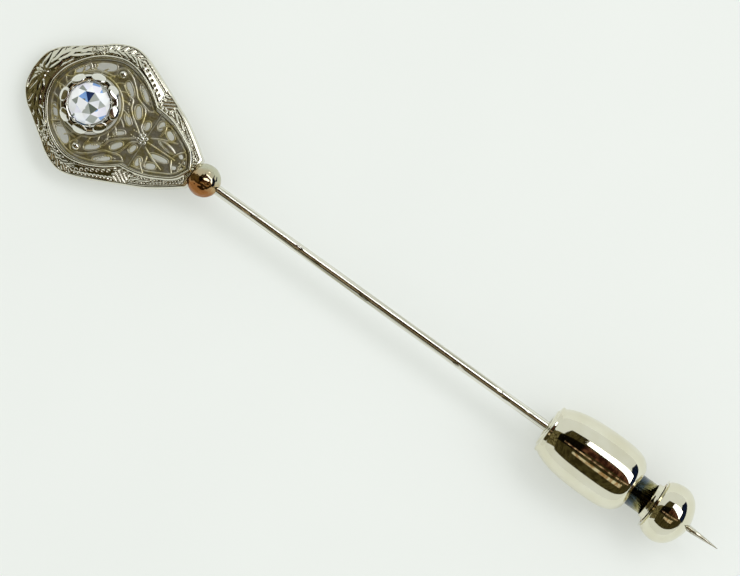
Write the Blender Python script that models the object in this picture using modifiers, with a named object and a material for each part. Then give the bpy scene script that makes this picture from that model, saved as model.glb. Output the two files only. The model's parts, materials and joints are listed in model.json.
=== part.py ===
"""Filigree stick pin: a pierced, gem-set head on a pointed stem, with a ball-lock clutch on the point.

The pin lies on its back: +X runs along the stem from the head to the point, +Z is up out of the
head's face, and the ground is z = 0. The clutch holds three balls in a sleeve; a spring draws the
sleeve into a cone, which presses the balls on the stem, and pulling the knob lets them go.
"""

import math

import bmesh
import bpy
from mathutils import Matrix, Vector

MM = 0.001

# Whole pin
TOTAL_LENGTH = 63.5 * MM
POINT_X = TOTAL_LENGTH / 2
BALL_TO_POINT = 47.8 * MM
BALL_X = POINT_X - BALL_TO_POINT

# Stem
STEM_RADIUS = 0.39 * MM
# The taper and the blunted point: (distance from the ball, radius) in millimetres
STEM_TAPER = ((41.0, 0.39), (43.2, 0.345), (45.0, 0.27), (46.6, 0.145), (47.75, 0.03))
STEM_STEPS = 20

# Ball between the head and the stem
BOSS_RADIUS = 1.30 * MM
BOSS_OFFSET = 0.10 * MM
BOSS_SOCKET_START = 0.05 * MM
BOSS_SOCKET_GAP = 0.02 * MM
BOSS_FLAT = 0.85 * MM
BOSS_RINGS = 10

# Head: soldered a little askew on the ball. The border's outline and the opening in it are given
# as (distance from the ball, half-width) in millimetres; a third value of 1 marks a sharp corner
BORDER_OUTLINE = (
    (15.75, 0.0), (15.52, 1.40), (14.75, 2.45), (13.50, 3.35), (12.15, 4.30, 1), (11.25, 4.98),
    (9.90, 5.50), (8.55, 5.28), (6.90, 4.60), (5.20, 3.82), (3.55, 3.06), (2.18, 2.20), (0.88, 1.24),
)
OPENING_OUTLINE = (
    (13.58, 0.0), (13.25, 1.36), (12.20, 2.86), (10.88, 3.74), (9.60, 4.08), (8.20, 3.80),
    (6.95, 3.18), (5.95, 2.42, 1), (5.00, 2.32), (4.10, 2.10), (3.10, 1.66), (2.05, 1.02),
    (1.42, 0.0, 1),
)
OUTLINE_SAMPLES = 3
HEAD_YAW = math.radians(1.8)
BORDER_BACK = -1.25 * MM
BORDER_FRONT = 0.45 * MM
BORDER_EDGE_BEVEL = 0.14 * MM
JOINT_GAP = 0.04 * MM

# Pierced sheets that fill the opening
SHEET_BACK = -0.55 * MM
SHEET_FRONT = 0.05 * MM
SHEET_SPLIT = 5.42
GAP_POINTS = 12
GAP_SQUARENESS = 0.82
# Each gap: distance from the ball, half-width, half length, half breadth (mm), and turn (degrees)
GALLERY_GAPS = (
    (12.40, 1.90, 0.58, 0.19, -50.0), (10.98, 3.04, 0.82, 0.34, -28.0),
    (8.52, 2.60, 0.60, 0.22, 39.0), (7.38, 2.96, 0.68, 0.20, 37.0),
    (7.00, 1.52, 0.50, 0.23, 52.0), (7.35, 0.60, 0.42, 0.16, 35.0),
    (5.84, 1.02, 0.32, 0.20, 78.0),
)
PALMETTE_GAPS = (
    (4.95, 1.62, 0.34, 0.22, 90.0), (3.98, 1.38, 0.40, 0.22, 24.0), (3.75, 0.52, 0.72, 0.18, 9.0),
    (2.45, 0.52, 0.24, 0.15, 24.0), (1.88, 0.26, 0.16, 0.09, 24.0),
)

# Setting
SETTING_DISTANCE = 10.35
COLLET_RADIUS = 2.25 * MM
COLLET_BACK = -0.95 * MM
COLLET_FRONT = 0.80 * MM
COLLET_BORE_RADIUS = 1.0 * MM
COLLET_TAPER = 0.30 * MM
COLLET_EDGE = 0.08 * MM
STONE_GIRDLE_RADIUS = 1.60 * MM
STONE_TABLE_RADIUS = 0.90 * MM
STONE_CULET = -0.35 * MM
STONE_GIRDLE = 1.00 * MM
STONE_GIRDLE_DEPTH = 0.08 * MM
STONE_TABLE = 1.56 * MM
STONE_SIDES = 16
PETAL_COUNT = 8
PETAL_RADIUS = 2.30 * MM
PETAL_SWING = 0.16 * MM
PLATE_BACK = 0.84 * MM
PLATE_FRONT = 1.32 * MM
PETAL_CUTTER_MARGIN = 1.0 * MM
SETTING_STEPS = 36

# Beads soldered on the sheets: distance from the ball and half-width (mm)
ROSETTE_PLACE = (5.60, 0.0)
ROSETTE_RADIUS = 0.50 * MM
SCROLL_BEAD_PLACE = (9.55, 3.25)
SCROLL_BEAD_RADIUS = 0.36 * MM
BEAD_RINGS = 4
BEAD_STEPS = 16

# Clutch: distances along the stem run from the barrel's entry face
CLUTCH_FROM_BALL = 31.94 * MM
BARREL_RADIUS = 2.71 * MM
# (distance, radius) in millimetres
BARREL_OUTSIDE = (
    (0.0, 1.42), (0.10, 1.56), (0.50, 1.97), (1.05, 2.24), (1.75, 2.45), (2.65, 2.60), (3.70, 2.68),
    (4.70, 2.71), (5.70, 2.70), (6.45, 2.64), (7.00, 2.53), (7.45, 2.34), (7.75, 2.10), (7.95, 1.84),
    (8.02, 1.66),
)
BARREL_BORE_RADIUS = 2.05 * MM
BARREL_BORE_START = 0.75 * MM
BARREL_BORE_END = 7.25 * MM
BARREL_LIP_RADIUS = 1.62 * MM
BARREL_ENTRY_RADIUS = 0.83 * MM
EYELET_BORE_RADIUS = 0.43 * MM
EYELET_RADIUS = 0.80 * MM
EYELET_FLANGE_RADIUS = 1.02 * MM
EYELET_START = 0.12 * MM
EYELET_FLANGE_START = 0.79 * MM
EYELET_END = 0.98 * MM
EYELET_MOUTH = 0.12 * MM
CASE_STEPS = 32

BALL_COUNT = 3
BALL_RADIUS = 0.45 * MM
BALL_STEM_GAP = 0.012 * MM
BALL_ORBIT = STEM_RADIUS + BALL_RADIUS + BALL_STEM_GAP
BALL_POSITION = 2.20 * MM
CONE_HALF_ANGLE = math.radians(15.0)
CONE_GAP = 0.015 * MM
CONE_START = 1.05 * MM
CONE_END = 3.30 * MM
CONE_RADIUS = 2.00 * MM

CAGE_BORE_RADIUS = 0.46 * MM
CAGE_NOSE_RADIUS = 0.84 * MM
CAGE_NOSE_START = 1.40 * MM
CAGE_NOSE_END = 3.20 * MM
CAGE_FLANGE_START = 3.45 * MM
CAGE_FLANGE_RADIUS = 1.85 * MM
CAGE_FLANGE_END = 3.80 * MM
CAGE_SLEEVE_RADIUS = 1.30 * MM
CAGE_SLEEVE_BORE = 0.62 * MM
CAGE_SLEEVE_BORE_START = 4.10 * MM
CAGE_END = 11.40 * MM
CAGE_WINDOW_RADIUS = 0.47 * MM
CAGE_WINDOW_DEPTH = 1.2 * MM

WASHER_START = 3.83 * MM
WASHER_END = 4.05 * MM
WASHER_RADIUS = 1.98 * MM
SLEEVE_CLEARANCE = 0.06 * MM

SPRING_WIRE_RADIUS = 0.125 * MM
SPRING_COIL_RADIUS = 1.68 * MM
SPRING_TURNS = 5
SPRING_POINTS_PER_TURN = 12
SPRING_END_GAP = 0.03 * MM

COLLAR_START = 6.45 * MM
COLLAR_SHOULDER = 7.21 * MM
COLLAR_END = 7.98 * MM
COLLAR_RADIUS = 2.01 * MM
COLLAR_NOSE_RADIUS = 1.58 * MM

FERRULE_START = 9.46 * MM
FERRULE_END = 9.88 * MM
FERRULE_RADIUS = 1.42 * MM
FERRULE_FLARE = 1.58 * MM
FERRULE_RIM = 0.12 * MM

KNOB_BACK = 9.92 * MM
KNOB_PLATE_RADIUS = 1.72 * MM
KNOB_PLATE_DEPTH = 0.40 * MM
KNOB_FRONT = 13.08 * MM
KNOB_EXIT_RADIUS = 0.47 * MM
# (distance, radius) in millimetres
KNOB_OUTSIDE = (
    (9.92, 1.80), (10.02, 1.98), (10.25, 2.16), (10.65, 2.32), (11.15, 2.40), (11.60, 2.36),
    (12.05, 2.18), (12.45, 1.86), (12.75, 1.44), (12.95, 0.98), (13.05, 0.68), (13.08, 0.55),
)
KNOB_INSIDE = ((12.62, 0.47), (12.60, 0.90), (12.20, 1.55), (11.70, 1.92), (11.10, 2.02), (10.50, 1.90))
KNOB_STEPS = 32


def material(name, rgb, roughness, metallic=1.0):
    """Return a Principled material with the given colour and finish."""
    made = bpy.data.materials.new(name)
    made.use_nodes = True
    shader = made.node_tree.nodes["Principled BSDF"]
    shader.inputs["Base Color"].default_value = (*rgb, 1.0)
    shader.inputs["Roughness"].default_value = roughness
    shader.inputs["Metallic"].default_value = metallic
    made.diffuse_color = (*rgb, 1.0)
    return made


def frosted_white_gold():
    return material("frosted_white_gold", (0.62, 0.60, 0.47), 0.30)


def bright_white_gold():
    return material("bright_white_gold", (0.72, 0.70, 0.60), 0.14)


def white_metal():
    return material("white_metal", (0.80, 0.79, 0.74), 0.10)


def clear_stone():
    return material("clear_stone", (0.86, 0.92, 1.0), 0.02, 0.0)


def stem_wire():
    return material("stem_wire", (0.66, 0.64, 0.56), 0.24)


def plated_shell():
    return material("plated_shell", (0.74, 0.72, 0.64), 0.12)


def brass():
    return material("brass", (0.58, 0.44, 0.20), 0.30)


def spring_steel():
    return material("spring_steel", (0.48, 0.48, 0.50), 0.26)


def hard_steel():
    return material("hard_steel", (0.56, 0.57, 0.60), 0.08)


def dark_sleeve():
    return material("dark_sleeve", (0.20, 0.23, 0.22), 0.34)


def add_object(name, data, finish, parent, place=(0.0, 0.0, 0.0)):
    """Add a sub-part with its material, placed in the frame of its parent empty."""
    piece = bpy.data.objects.new(name, data)
    if finish is not None:
        data.materials.append(finish)
    piece.parent = parent
    piece.location = place
    PARTS.objects.link(piece)
    return piece


def as_cutter(piece):
    """Move an object to the cutters, shown as a wire and left out of the pin."""
    for holder in list(piece.users_collection):
        holder.objects.unlink(piece)
    CUTTERS.objects.link(piece)
    piece.hide_render = True
    piece.display_type = "WIRE"
    return piece


def add_boolean(piece, operation, cutter):
    """Join a live Boolean to a piece."""
    boolean = piece.modifiers.new(operation.lower(), "BOOLEAN")
    boolean.operation = operation
    boolean.solver = "EXACT"
    boolean.object = cutter


def turned(name, profile, steps, finish, parent, place=(0.0, 0.0, 0.0), closed=True):
    """Spin a profile of (distance along the axis, radius) about the parent's Z axis.

    The profile runs down its outer side, so the distances fall from point to point there. A closed
    profile makes a ring; an open one starts and ends on the axis and makes a solid.
    """
    data = bpy.data.meshes.new(name)
    points = [(radius, 0.0, distance) for distance, radius in profile]
    edges = [(i, i + 1) for i in range(len(points) - 1)]
    if closed:
        edges.append((len(points) - 1, 0))
    data.from_pydata(points, edges, [])
    piece = add_object(name, data, finish, parent, place)
    screw = piece.modifiers.new("turn", "SCREW")
    screw.axis = "Z"
    screw.angle = math.tau
    screw.steps = steps
    screw.render_steps = steps
    screw.use_merge_vertices = True
    screw.merge_threshold = 0.001 * MM
    screw.use_smooth_shade = True
    return piece


def smooth_half(knots, samples=OUTLINE_SAMPLES):
    """Sample a smooth line through the knots, which stays sharp at the marked corners."""
    points = [Vector(knot[:2]) for knot in knots]
    corner = [len(knot) > 2 for knot in knots]
    line = []
    for i in range(len(points) - 1):
        start, end = points[i], points[i + 1]
        before = points[i - 1] if i > 0 else Vector((start.x, -end.y))
        after = points[i + 2] if i + 2 < len(points) else end
        leave = end - start if corner[i] else (end - before) / 2
        arrive = end - start if corner[i + 1] else (after - start) / 2
        for step in range(samples):
            t = step / samples
            a = 2 * t**3 - 3 * t**2 + 1
            b = t**3 - 2 * t**2 + t
            line.append(a * start + b * leave + (1 - a) * end + (t**3 - t**2) * arrive)
    line.append(points[-1])
    return line


def split_half(half, distance):
    """Cut a half outline in two at a distance from the ball."""
    for i, (before, after) in enumerate(zip(half, half[1:])):
        if before.x > distance >= after.x:
            meet = before.lerp(after, (before.x - distance) / (before.x - after.x))
            return half[:i + 1] + [meet], [meet] + half[i + 1:]
    raise ValueError("the outline doesn't reach that distance")


def whole_outline(half):
    """Mirror a half outline that starts on the axis, and turn it to the head's X and Y."""
    other = [Vector((p.x, -p.y)) for p in reversed(half[1:]) if p.y > 1e-6]
    return [Vector((-p.x * MM, p.y * MM)) for p in half + other]


def shrunk(outline, distance):
    """Move each point of a closed outline inwards along the bisector of its sides."""
    moved = []
    centre = sum(outline, Vector((0.0, 0.0))) / len(outline)
    for i, point in enumerate(outline):
        along = outline[(i + 1) % len(outline)] - outline[i - 1]
        inwards = Vector((-along.y, along.x)).normalized()
        if inwards.dot(centre - point) < 0:
            inwards.negate()
        moved.append(point + inwards * distance)
    return moved


def squared(value):
    """Bend a sine or cosine towards a rounded square."""
    return math.copysign(abs(value) ** GAP_SQUARENESS, value)


def gap_outline(distance, offset, half_length, half_breadth, turn, side=1):
    """An oval gap in the sheet, on one side of the axis."""
    angle = math.radians(turn)
    outline = []
    for i in range(GAP_POINTS):
        t = math.tau * i / GAP_POINTS
        u = half_length * squared(math.cos(t))
        v = half_breadth * squared(math.sin(t))
        along = distance + u * math.cos(angle) - v * math.sin(angle)
        across = offset + u * math.sin(angle) + v * math.cos(angle)
        outline.append(Vector((-along * MM, side * across * MM)))
    return outline


def ring_outline(centre_x, radius, count, swing=0.0, waves=0):
    """A circle about a point on the axis, with an optional wave in its radius."""
    outline = []
    for i in range(count):
        angle = math.tau * i / count
        reach = radius + swing * math.cos(waves * angle)
        outline.append(Vector((centre_x + reach * math.cos(angle), reach * math.sin(angle))))
    return outline


def plate(name, outlines, back, front, finish, parent, chamfer=0.0):
    """A flat piece between two heights, whose first outline is its edge and the rest are holes.

    A chamfer breaks all its edges; each hole's outline then runs the other way round than the edge.
    """
    data = bpy.data.curves.new(name, "CURVE")
    data.dimensions = "2D"
    data.fill_mode = "BOTH"
    data.extrude = (front - back) / 2 - chamfer
    data.bevel_depth = chamfer
    data.bevel_resolution = 0
    data.offset = -chamfer
    for outline in outlines:
        spline = data.splines.new("POLY")
        spline.points.add(len(outline) - 1)
        for point, place in zip(spline.points, outline):
            point.co = (place.x, place.y, 0.0, 1.0)
        spline.use_cyclic_u = True
    return add_object(name, data, finish, parent, (0.0, 0.0, (front + back) / 2))


def meshed(piece):
    """Turn a curve object into a welded mesh object of the same name and place."""
    bpy.context.view_layer.update()
    seen = piece.evaluated_get(bpy.context.evaluated_depsgraph_get())
    data = bpy.data.meshes.new_from_object(seen)
    welded = bmesh.new()
    welded.from_mesh(data)
    bmesh.ops.remove_doubles(welded, verts=welded.verts, dist=0.001 * MM)
    welded.to_mesh(data)
    welded.free()
    name, finish = piece.name, piece.data.materials[0]
    place, parent = piece.matrix_world.copy(), piece.parent
    bpy.data.objects.remove(piece)
    data.materials.clear()
    data.materials.append(finish)
    solid = bpy.data.objects.new(name, data)
    PARTS.objects.link(solid)
    solid.parent = parent
    solid.matrix_world = place
    return solid


def dome(name, place, radius, finish, parent):
    """A bead that stands on the sheets: a turned dome with a flat underside."""
    profile = []
    for i in range(BEAD_RINGS + 1):
        angle = math.pi / 2 * (1 - i / BEAD_RINGS)
        profile.append((radius * math.sin(angle), radius * math.cos(angle)))
    profile.append((0.0, 0.0))
    distance, offset = place
    spot = (-distance * MM, offset * MM, SHEET_FRONT + JOINT_GAP)
    return turned(name, profile, BEAD_STEPS, finish, parent, spot, closed=False)


def make_head(head, gold, bright, stone_finish):
    """The border, the two pierced sheets, the setting with its stone, and the beads."""
    opening_half = smooth_half(OPENING_OUTLINE)
    opening = whole_outline(opening_half)
    edge = whole_outline(smooth_half(BORDER_OUTLINE))
    plate(
        "border_frame", [edge, opening[::-1]], BORDER_BACK, BORDER_FRONT, gold, head,
        chamfer=BORDER_EDGE_BEVEL,
    )
    upper, lower = split_half(opening_half, SHEET_SPLIT)
    make_gallery(upper, bright, head)
    make_palmette(lower, bright, head)
    make_setting(head, gold, bright, stone_finish)
    dome("rosette_bead", ROSETTE_PLACE, ROSETTE_RADIUS, bright, head)
    for side, name in ((1, "scroll_bead_left"), (-1, "scroll_bead_right")):
        distance, offset = SCROLL_BEAD_PLACE
        dome(name, (distance, side * offset), SCROLL_BEAD_RADIUS, bright, head)


def both_sides(gaps):
    """The outlines of a list of gaps on both sides of the axis."""
    return [gap_outline(*gap, side=side) for gap in gaps for side in (1, -1)]


def make_gallery(half, finish, head):
    """The scrolled sheet round the setting."""
    edge = shrunk(whole_outline(half), JOINT_GAP)
    seat = ring_outline(-SETTING_DISTANCE * MM, COLLET_RADIUS + JOINT_GAP, SETTING_STEPS)
    outlines = [edge, seat] + both_sides(GALLERY_GAPS)
    plate("scroll_gallery", outlines, SHEET_BACK, SHEET_FRONT, finish, head)


def make_palmette(half, finish, head):
    """The ribbed fan between the knot and the ball."""
    first = Vector((half[0].x, 0.0))
    edge = shrunk(whole_outline([first] + half), JOINT_GAP)
    plate("palmette", [edge] + both_sides(PALMETTE_GAPS), SHEET_BACK, SHEET_FRONT, finish, head)


def make_setting(head, gold, bright, stone_finish):
    """The collet, the petalled plate round the girdle, and the brilliant-cut stone."""
    spot = (-SETTING_DISTANCE * MM, 0.0, 0.0)
    slope = STONE_GIRDLE_RADIUS / (STONE_GIRDLE - STONE_CULET)

    def seat_radius(height):
        return (height - STONE_CULET) * slope + JOINT_GAP

    bore_top = STONE_CULET + (COLLET_BORE_RADIUS - JOINT_GAP) / slope
    turned("collet", [
        (COLLET_FRONT, COLLET_RADIUS - COLLET_EDGE), (COLLET_FRONT - COLLET_EDGE, COLLET_RADIUS),
        (COLLET_BACK, COLLET_RADIUS - COLLET_TAPER), (COLLET_BACK, COLLET_BORE_RADIUS),
        (bore_top, COLLET_BORE_RADIUS), (COLLET_FRONT, seat_radius(COLLET_FRONT)),
    ], SETTING_STEPS, gold, head, spot)

    girdle_top = STONE_GIRDLE + STONE_GIRDLE_DEPTH
    turned("stone", [
        (STONE_TABLE, 0.0), (STONE_TABLE, STONE_TABLE_RADIUS), (girdle_top, STONE_GIRDLE_RADIUS),
        (STONE_GIRDLE, STONE_GIRDLE_RADIUS), (STONE_CULET, 0.0),
    ], STONE_SIDES, stone_finish, head, spot, closed=False)

    hole = STONE_GIRDLE_RADIUS + JOINT_GAP
    lip_start = girdle_top + JOINT_GAP
    crown_slope = (STONE_GIRDLE_RADIUS - STONE_TABLE_RADIUS) / (STONE_TABLE - girdle_top)
    lip = hole - JOINT_GAP * crown_slope
    blank = PETAL_RADIUS + 2 * PETAL_SWING
    petals = turned("illusion_plate", [
        (PLATE_FRONT, blank), (PLATE_BACK, blank), (PLATE_BACK, hole), (lip_start, hole),
        (PLATE_FRONT, lip),
    ], SETTING_STEPS, bright, head, spot)
    wave = ring_outline(0.0, PETAL_RADIUS, PETAL_COUNT * 8, PETAL_SWING, PETAL_COUNT)
    cut_back, cut_front = PLATE_BACK - PETAL_CUTTER_MARGIN, PLATE_FRONT + PETAL_CUTTER_MARGIN
    flower = plate("petal_cutter", [wave], cut_back, cut_front, bright, head)
    flower.location.x = spot[0]
    add_boolean(petals, "INTERSECT", as_cutter(meshed(flower)))


def make_boss(head, axis, finish):
    """The ball that joins the head to the stem, with a socket for the stem's end."""
    mouth_radius = STEM_RADIUS + BOSS_SOCKET_GAP
    profile = []
    start = math.asin(mouth_radius / BOSS_RADIUS)
    for i in range(BOSS_RINGS + 1):
        angle = start + (math.pi - start) * i / BOSS_RINGS
        profile.append((BOSS_OFFSET + BOSS_RADIUS * math.cos(angle), BOSS_RADIUS * math.sin(angle)))
    socket = BOSS_SOCKET_START - JOINT_GAP
    profile = [(socket, 0.0), (socket, mouth_radius)] + profile[:-1] + [(profile[-1][0], 0.0)]
    ball = turned("junction_boss", profile, 24, finish, axis, closed=False)

    size = 3 * BOSS_RADIUS
    bpy.ops.mesh.primitive_cube_add(size=size)
    block = bpy.context.object
    block.name = "boss_cutter"
    block.parent = head
    block.location = (-BOSS_FLAT - size / 2, 0.0, 0.0)
    add_boolean(ball, "DIFFERENCE", as_cutter(block))


def make_stem(axis, finish):
    """The round stem, from its socket in the ball to the point."""
    taper = [(distance * MM, radius * MM) for distance, radius in reversed(STEM_TAPER)]
    turned("pin_stem", [(BALL_TO_POINT, 0.0)] + taper + [
        (BOSS_SOCKET_START, STEM_RADIUS), (BOSS_SOCKET_START, 0.0),
    ], STEM_STEPS, finish, axis, closed=False)


def make_case(clutch, shell, inner):
    """The barrel with its entry eyelet, the cone and the collar that closes it."""
    outside = [(distance * MM, radius * MM) for distance, radius in reversed(BARREL_OUTSIDE)]
    turned("clutch_barrel", outside + [
        (0.0, BARREL_ENTRY_RADIUS), (BARREL_BORE_START, BARREL_ENTRY_RADIUS),
        (BARREL_BORE_START, BARREL_BORE_RADIUS), (BARREL_BORE_END, BARREL_BORE_RADIUS),
        (BARREL_BORE_END, BARREL_LIP_RADIUS), (outside[0][0], BARREL_LIP_RADIUS),
    ], CASE_STEPS, shell, clutch)

    turned("entry_eyelet", [
        (EYELET_END, EYELET_FLANGE_RADIUS), (EYELET_FLANGE_START, EYELET_FLANGE_RADIUS),
        (EYELET_FLANGE_START, EYELET_RADIUS), (EYELET_START, EYELET_RADIUS),
        (EYELET_START, EYELET_BORE_RADIUS + EYELET_MOUTH),
        (EYELET_START + EYELET_MOUTH, EYELET_BORE_RADIUS), (EYELET_END, EYELET_BORE_RADIUS),
    ], 24, inner, clutch)

    def cone_radius(distance):
        sine, cosine = math.sin(CONE_HALF_ANGLE), math.cos(CONE_HALF_ANGLE)
        touch = BALL_POSITION - BALL_RADIUS * sine
        radius = BALL_ORBIT + BALL_RADIUS * cosine + CONE_GAP / cosine
        return radius + (distance - touch) * math.tan(CONE_HALF_ANGLE)

    turned("cone_seat", [
        (CONE_END, CONE_RADIUS), (CONE_START, CONE_RADIUS), (CONE_START, cone_radius(CONE_START)),
        (CONE_END, cone_radius(CONE_END)),
    ], CASE_STEPS, inner, clutch)

    bore = CAGE_SLEEVE_RADIUS + SLEEVE_CLEARANCE
    turned("end_collar", [
        (COLLAR_END, COLLAR_NOSE_RADIUS), (COLLAR_SHOULDER, COLLAR_NOSE_RADIUS),
        (COLLAR_SHOULDER, COLLAR_RADIUS), (COLLAR_START, COLLAR_RADIUS), (COLLAR_START, bore),
        (COLLAR_END, bore),
    ], CASE_STEPS, inner, clutch)


def make_spring(clutch, finish):
    """The coil spring between the washer and the collar."""
    data = bpy.data.curves.new("return_spring", "CURVE")
    data.dimensions = "3D"
    data.bevel_depth = SPRING_WIRE_RADIUS
    data.bevel_resolution = 2
    data.use_fill_caps = True
    first = WASHER_END + SPRING_END_GAP + SPRING_WIRE_RADIUS
    last = COLLAR_START - SPRING_END_GAP - SPRING_WIRE_RADIUS
    count = SPRING_TURNS * SPRING_POINTS_PER_TURN
    spline = data.splines.new("POLY")
    spline.points.add(count)
    for i, point in enumerate(spline.points):
        angle = math.tau * i / SPRING_POINTS_PER_TURN
        height = first + (last - first) * i / count
        place = Vector((SPRING_COIL_RADIUS * math.cos(angle), SPRING_COIL_RADIUS * math.sin(angle), height))
        point.co = (*place, 1.0)
    add_object("return_spring", data, finish, clutch)


def make_plunger(clutch, shell, sleeve, bright, inner):
    """The sleeve that holds the balls, the washer behind it, and the knob that pulls it."""
    cage = turned("ball_cage", [
        (CAGE_END, CAGE_SLEEVE_RADIUS), (CAGE_FLANGE_END, CAGE_SLEEVE_RADIUS),
        (CAGE_FLANGE_END, CAGE_FLANGE_RADIUS), (CAGE_FLANGE_START, CAGE_FLANGE_RADIUS),
        (CAGE_NOSE_END, CAGE_NOSE_RADIUS), (CAGE_NOSE_START, CAGE_NOSE_RADIUS),
        (CAGE_NOSE_START, CAGE_BORE_RADIUS), (CAGE_FLANGE_END, CAGE_BORE_RADIUS),
        (CAGE_SLEEVE_BORE_START, CAGE_SLEEVE_BORE), (CAGE_END, CAGE_SLEEVE_BORE),
    ], CASE_STEPS, sleeve, clutch)

    windows = bmesh.new()
    for i in range(BALL_COUNT):
        middle = ball_place(i)
        turn = Vector((middle.x, middle.y, 0.0)).to_track_quat("Z", "Y").to_matrix().to_4x4()
        bmesh.ops.create_cone(
            windows, cap_ends=True, segments=24, radius1=CAGE_WINDOW_RADIUS, radius2=CAGE_WINDOW_RADIUS,
            depth=CAGE_WINDOW_DEPTH, matrix=Matrix.Translation(middle) @ turn,
        )
    data = bpy.data.meshes.new("window_cutter")
    windows.to_mesh(data)
    windows.free()
    add_boolean(cage, "DIFFERENCE", as_cutter(add_object("window_cutter", data, None, clutch)))

    turned("thrust_washer", [
        (WASHER_END, WASHER_RADIUS), (WASHER_START, WASHER_RADIUS),
        (WASHER_START, CAGE_SLEEVE_RADIUS + SLEEVE_CLEARANCE),
        (WASHER_END, CAGE_SLEEVE_RADIUS + SLEEVE_CLEARANCE),
    ], CASE_STEPS, inner, clutch)

    seat = CAGE_SLEEVE_RADIUS + JOINT_GAP
    turned("neck_ferrule", [
        (FERRULE_END, FERRULE_FLARE), (FERRULE_END - FERRULE_RIM, FERRULE_FLARE),
        (FERRULE_START, FERRULE_RADIUS), (FERRULE_START, seat), (FERRULE_END, seat),
    ], CASE_STEPS, bright, clutch)

    turned("knob_back_plate", [
        (KNOB_BACK + KNOB_PLATE_DEPTH, KNOB_PLATE_RADIUS), (KNOB_BACK, KNOB_PLATE_RADIUS),
        (KNOB_BACK, seat), (KNOB_BACK + KNOB_PLATE_DEPTH, seat),
    ], KNOB_STEPS, inner, clutch)

    outside = [(distance * MM, radius * MM) for distance, radius in reversed(KNOB_OUTSIDE)]
    inside = [(distance * MM, radius * MM) for distance, radius in reversed(KNOB_INSIDE)]
    mouth = KNOB_PLATE_RADIUS + JOINT_GAP
    turned("release_knob", outside + [
        (KNOB_BACK, mouth), (KNOB_BACK + KNOB_PLATE_DEPTH + JOINT_GAP, mouth),
    ] + inside + [(KNOB_FRONT, KNOB_EXIT_RADIUS)], KNOB_STEPS, shell, clutch)


def ball_place(index):
    """Where a locking ball sits against the stem, in the clutch's frame."""
    angle = math.tau * index / BALL_COUNT
    return Vector((BALL_ORBIT * math.cos(angle), BALL_ORBIT * math.sin(angle), BALL_POSITION))


def make_balls(clutch, finish):
    """The three balls that grip the stem."""
    for i in range(BALL_COUNT):
        shape = bmesh.new()
        bmesh.ops.create_uvsphere(shape, u_segments=12, v_segments=8, radius=BALL_RADIUS)
        data = bpy.data.meshes.new(f"lock_ball_{i + 1}")
        shape.to_mesh(data)
        shape.free()
        data.shade_smooth()
        add_object(f"lock_ball_{i + 1}", data, finish, clutch, ball_place(i))


def empty(name, place, pitch, yaw=0.0):
    """A frame for a group of pieces: where it stands, its turn about Y and then about Z."""
    frame = bpy.data.objects.new(name, None)
    frame.location = place
    frame.rotation_euler = (0.0, pitch, yaw)
    frame.empty_display_size = 2.0 * MM
    PARTS.objects.link(frame)
    return frame


def head_tilt():
    """The angle that lets the back edge of the head's far end touch the ground with the barrel."""
    far_edge = BORDER_OUTLINE[0][0] * MM - BORDER_EDGE_BEVEL
    reach = math.hypot(far_edge, BORDER_BACK)
    return math.asin(BARREL_RADIUS / reach) - math.atan2(-BORDER_BACK, far_edge)


def clear_scene():
    for old in list(bpy.data.objects):
        bpy.data.objects.remove(old, do_unlink=True)


def add_collection(name):
    holder = bpy.data.collections.new(name)
    bpy.context.scene.collection.children.link(holder)
    return holder


clear_scene()
PARTS = add_collection("stick_pin")
CUTTERS = add_collection("cutters")


def main():
    centre = (BALL_X, 0.0, BARREL_RADIUS)
    head = empty("head_frame", centre, -head_tilt(), HEAD_YAW)
    axis = empty("stem_axis", centre, math.pi / 2)
    clutch = empty("clutch_axis", (BALL_X + CLUTCH_FROM_BALL, 0.0, BARREL_RADIUS), math.pi / 2)
    gold, bright, shell, inner = frosted_white_gold(), bright_white_gold(), plated_shell(), brass()
    make_head(head, gold, bright, clear_stone())
    make_boss(head, axis, white_metal())
    make_stem(axis, stem_wire())
    make_case(clutch, shell, inner)
    make_spring(clutch, spring_steel())
    make_plunger(clutch, shell, dark_sleeve(), bright, inner)
    make_balls(clutch, hard_steel())


main()
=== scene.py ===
"""Filigree stick pin: the finished look of its head, stem and clutch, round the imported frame."""

import json
import math

import bmesh
import bpy
import numpy as np
from bpy.props import FloatProperty, FloatVectorProperty, IntProperty, PointerProperty
from mathutils import Matrix, Vector

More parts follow.
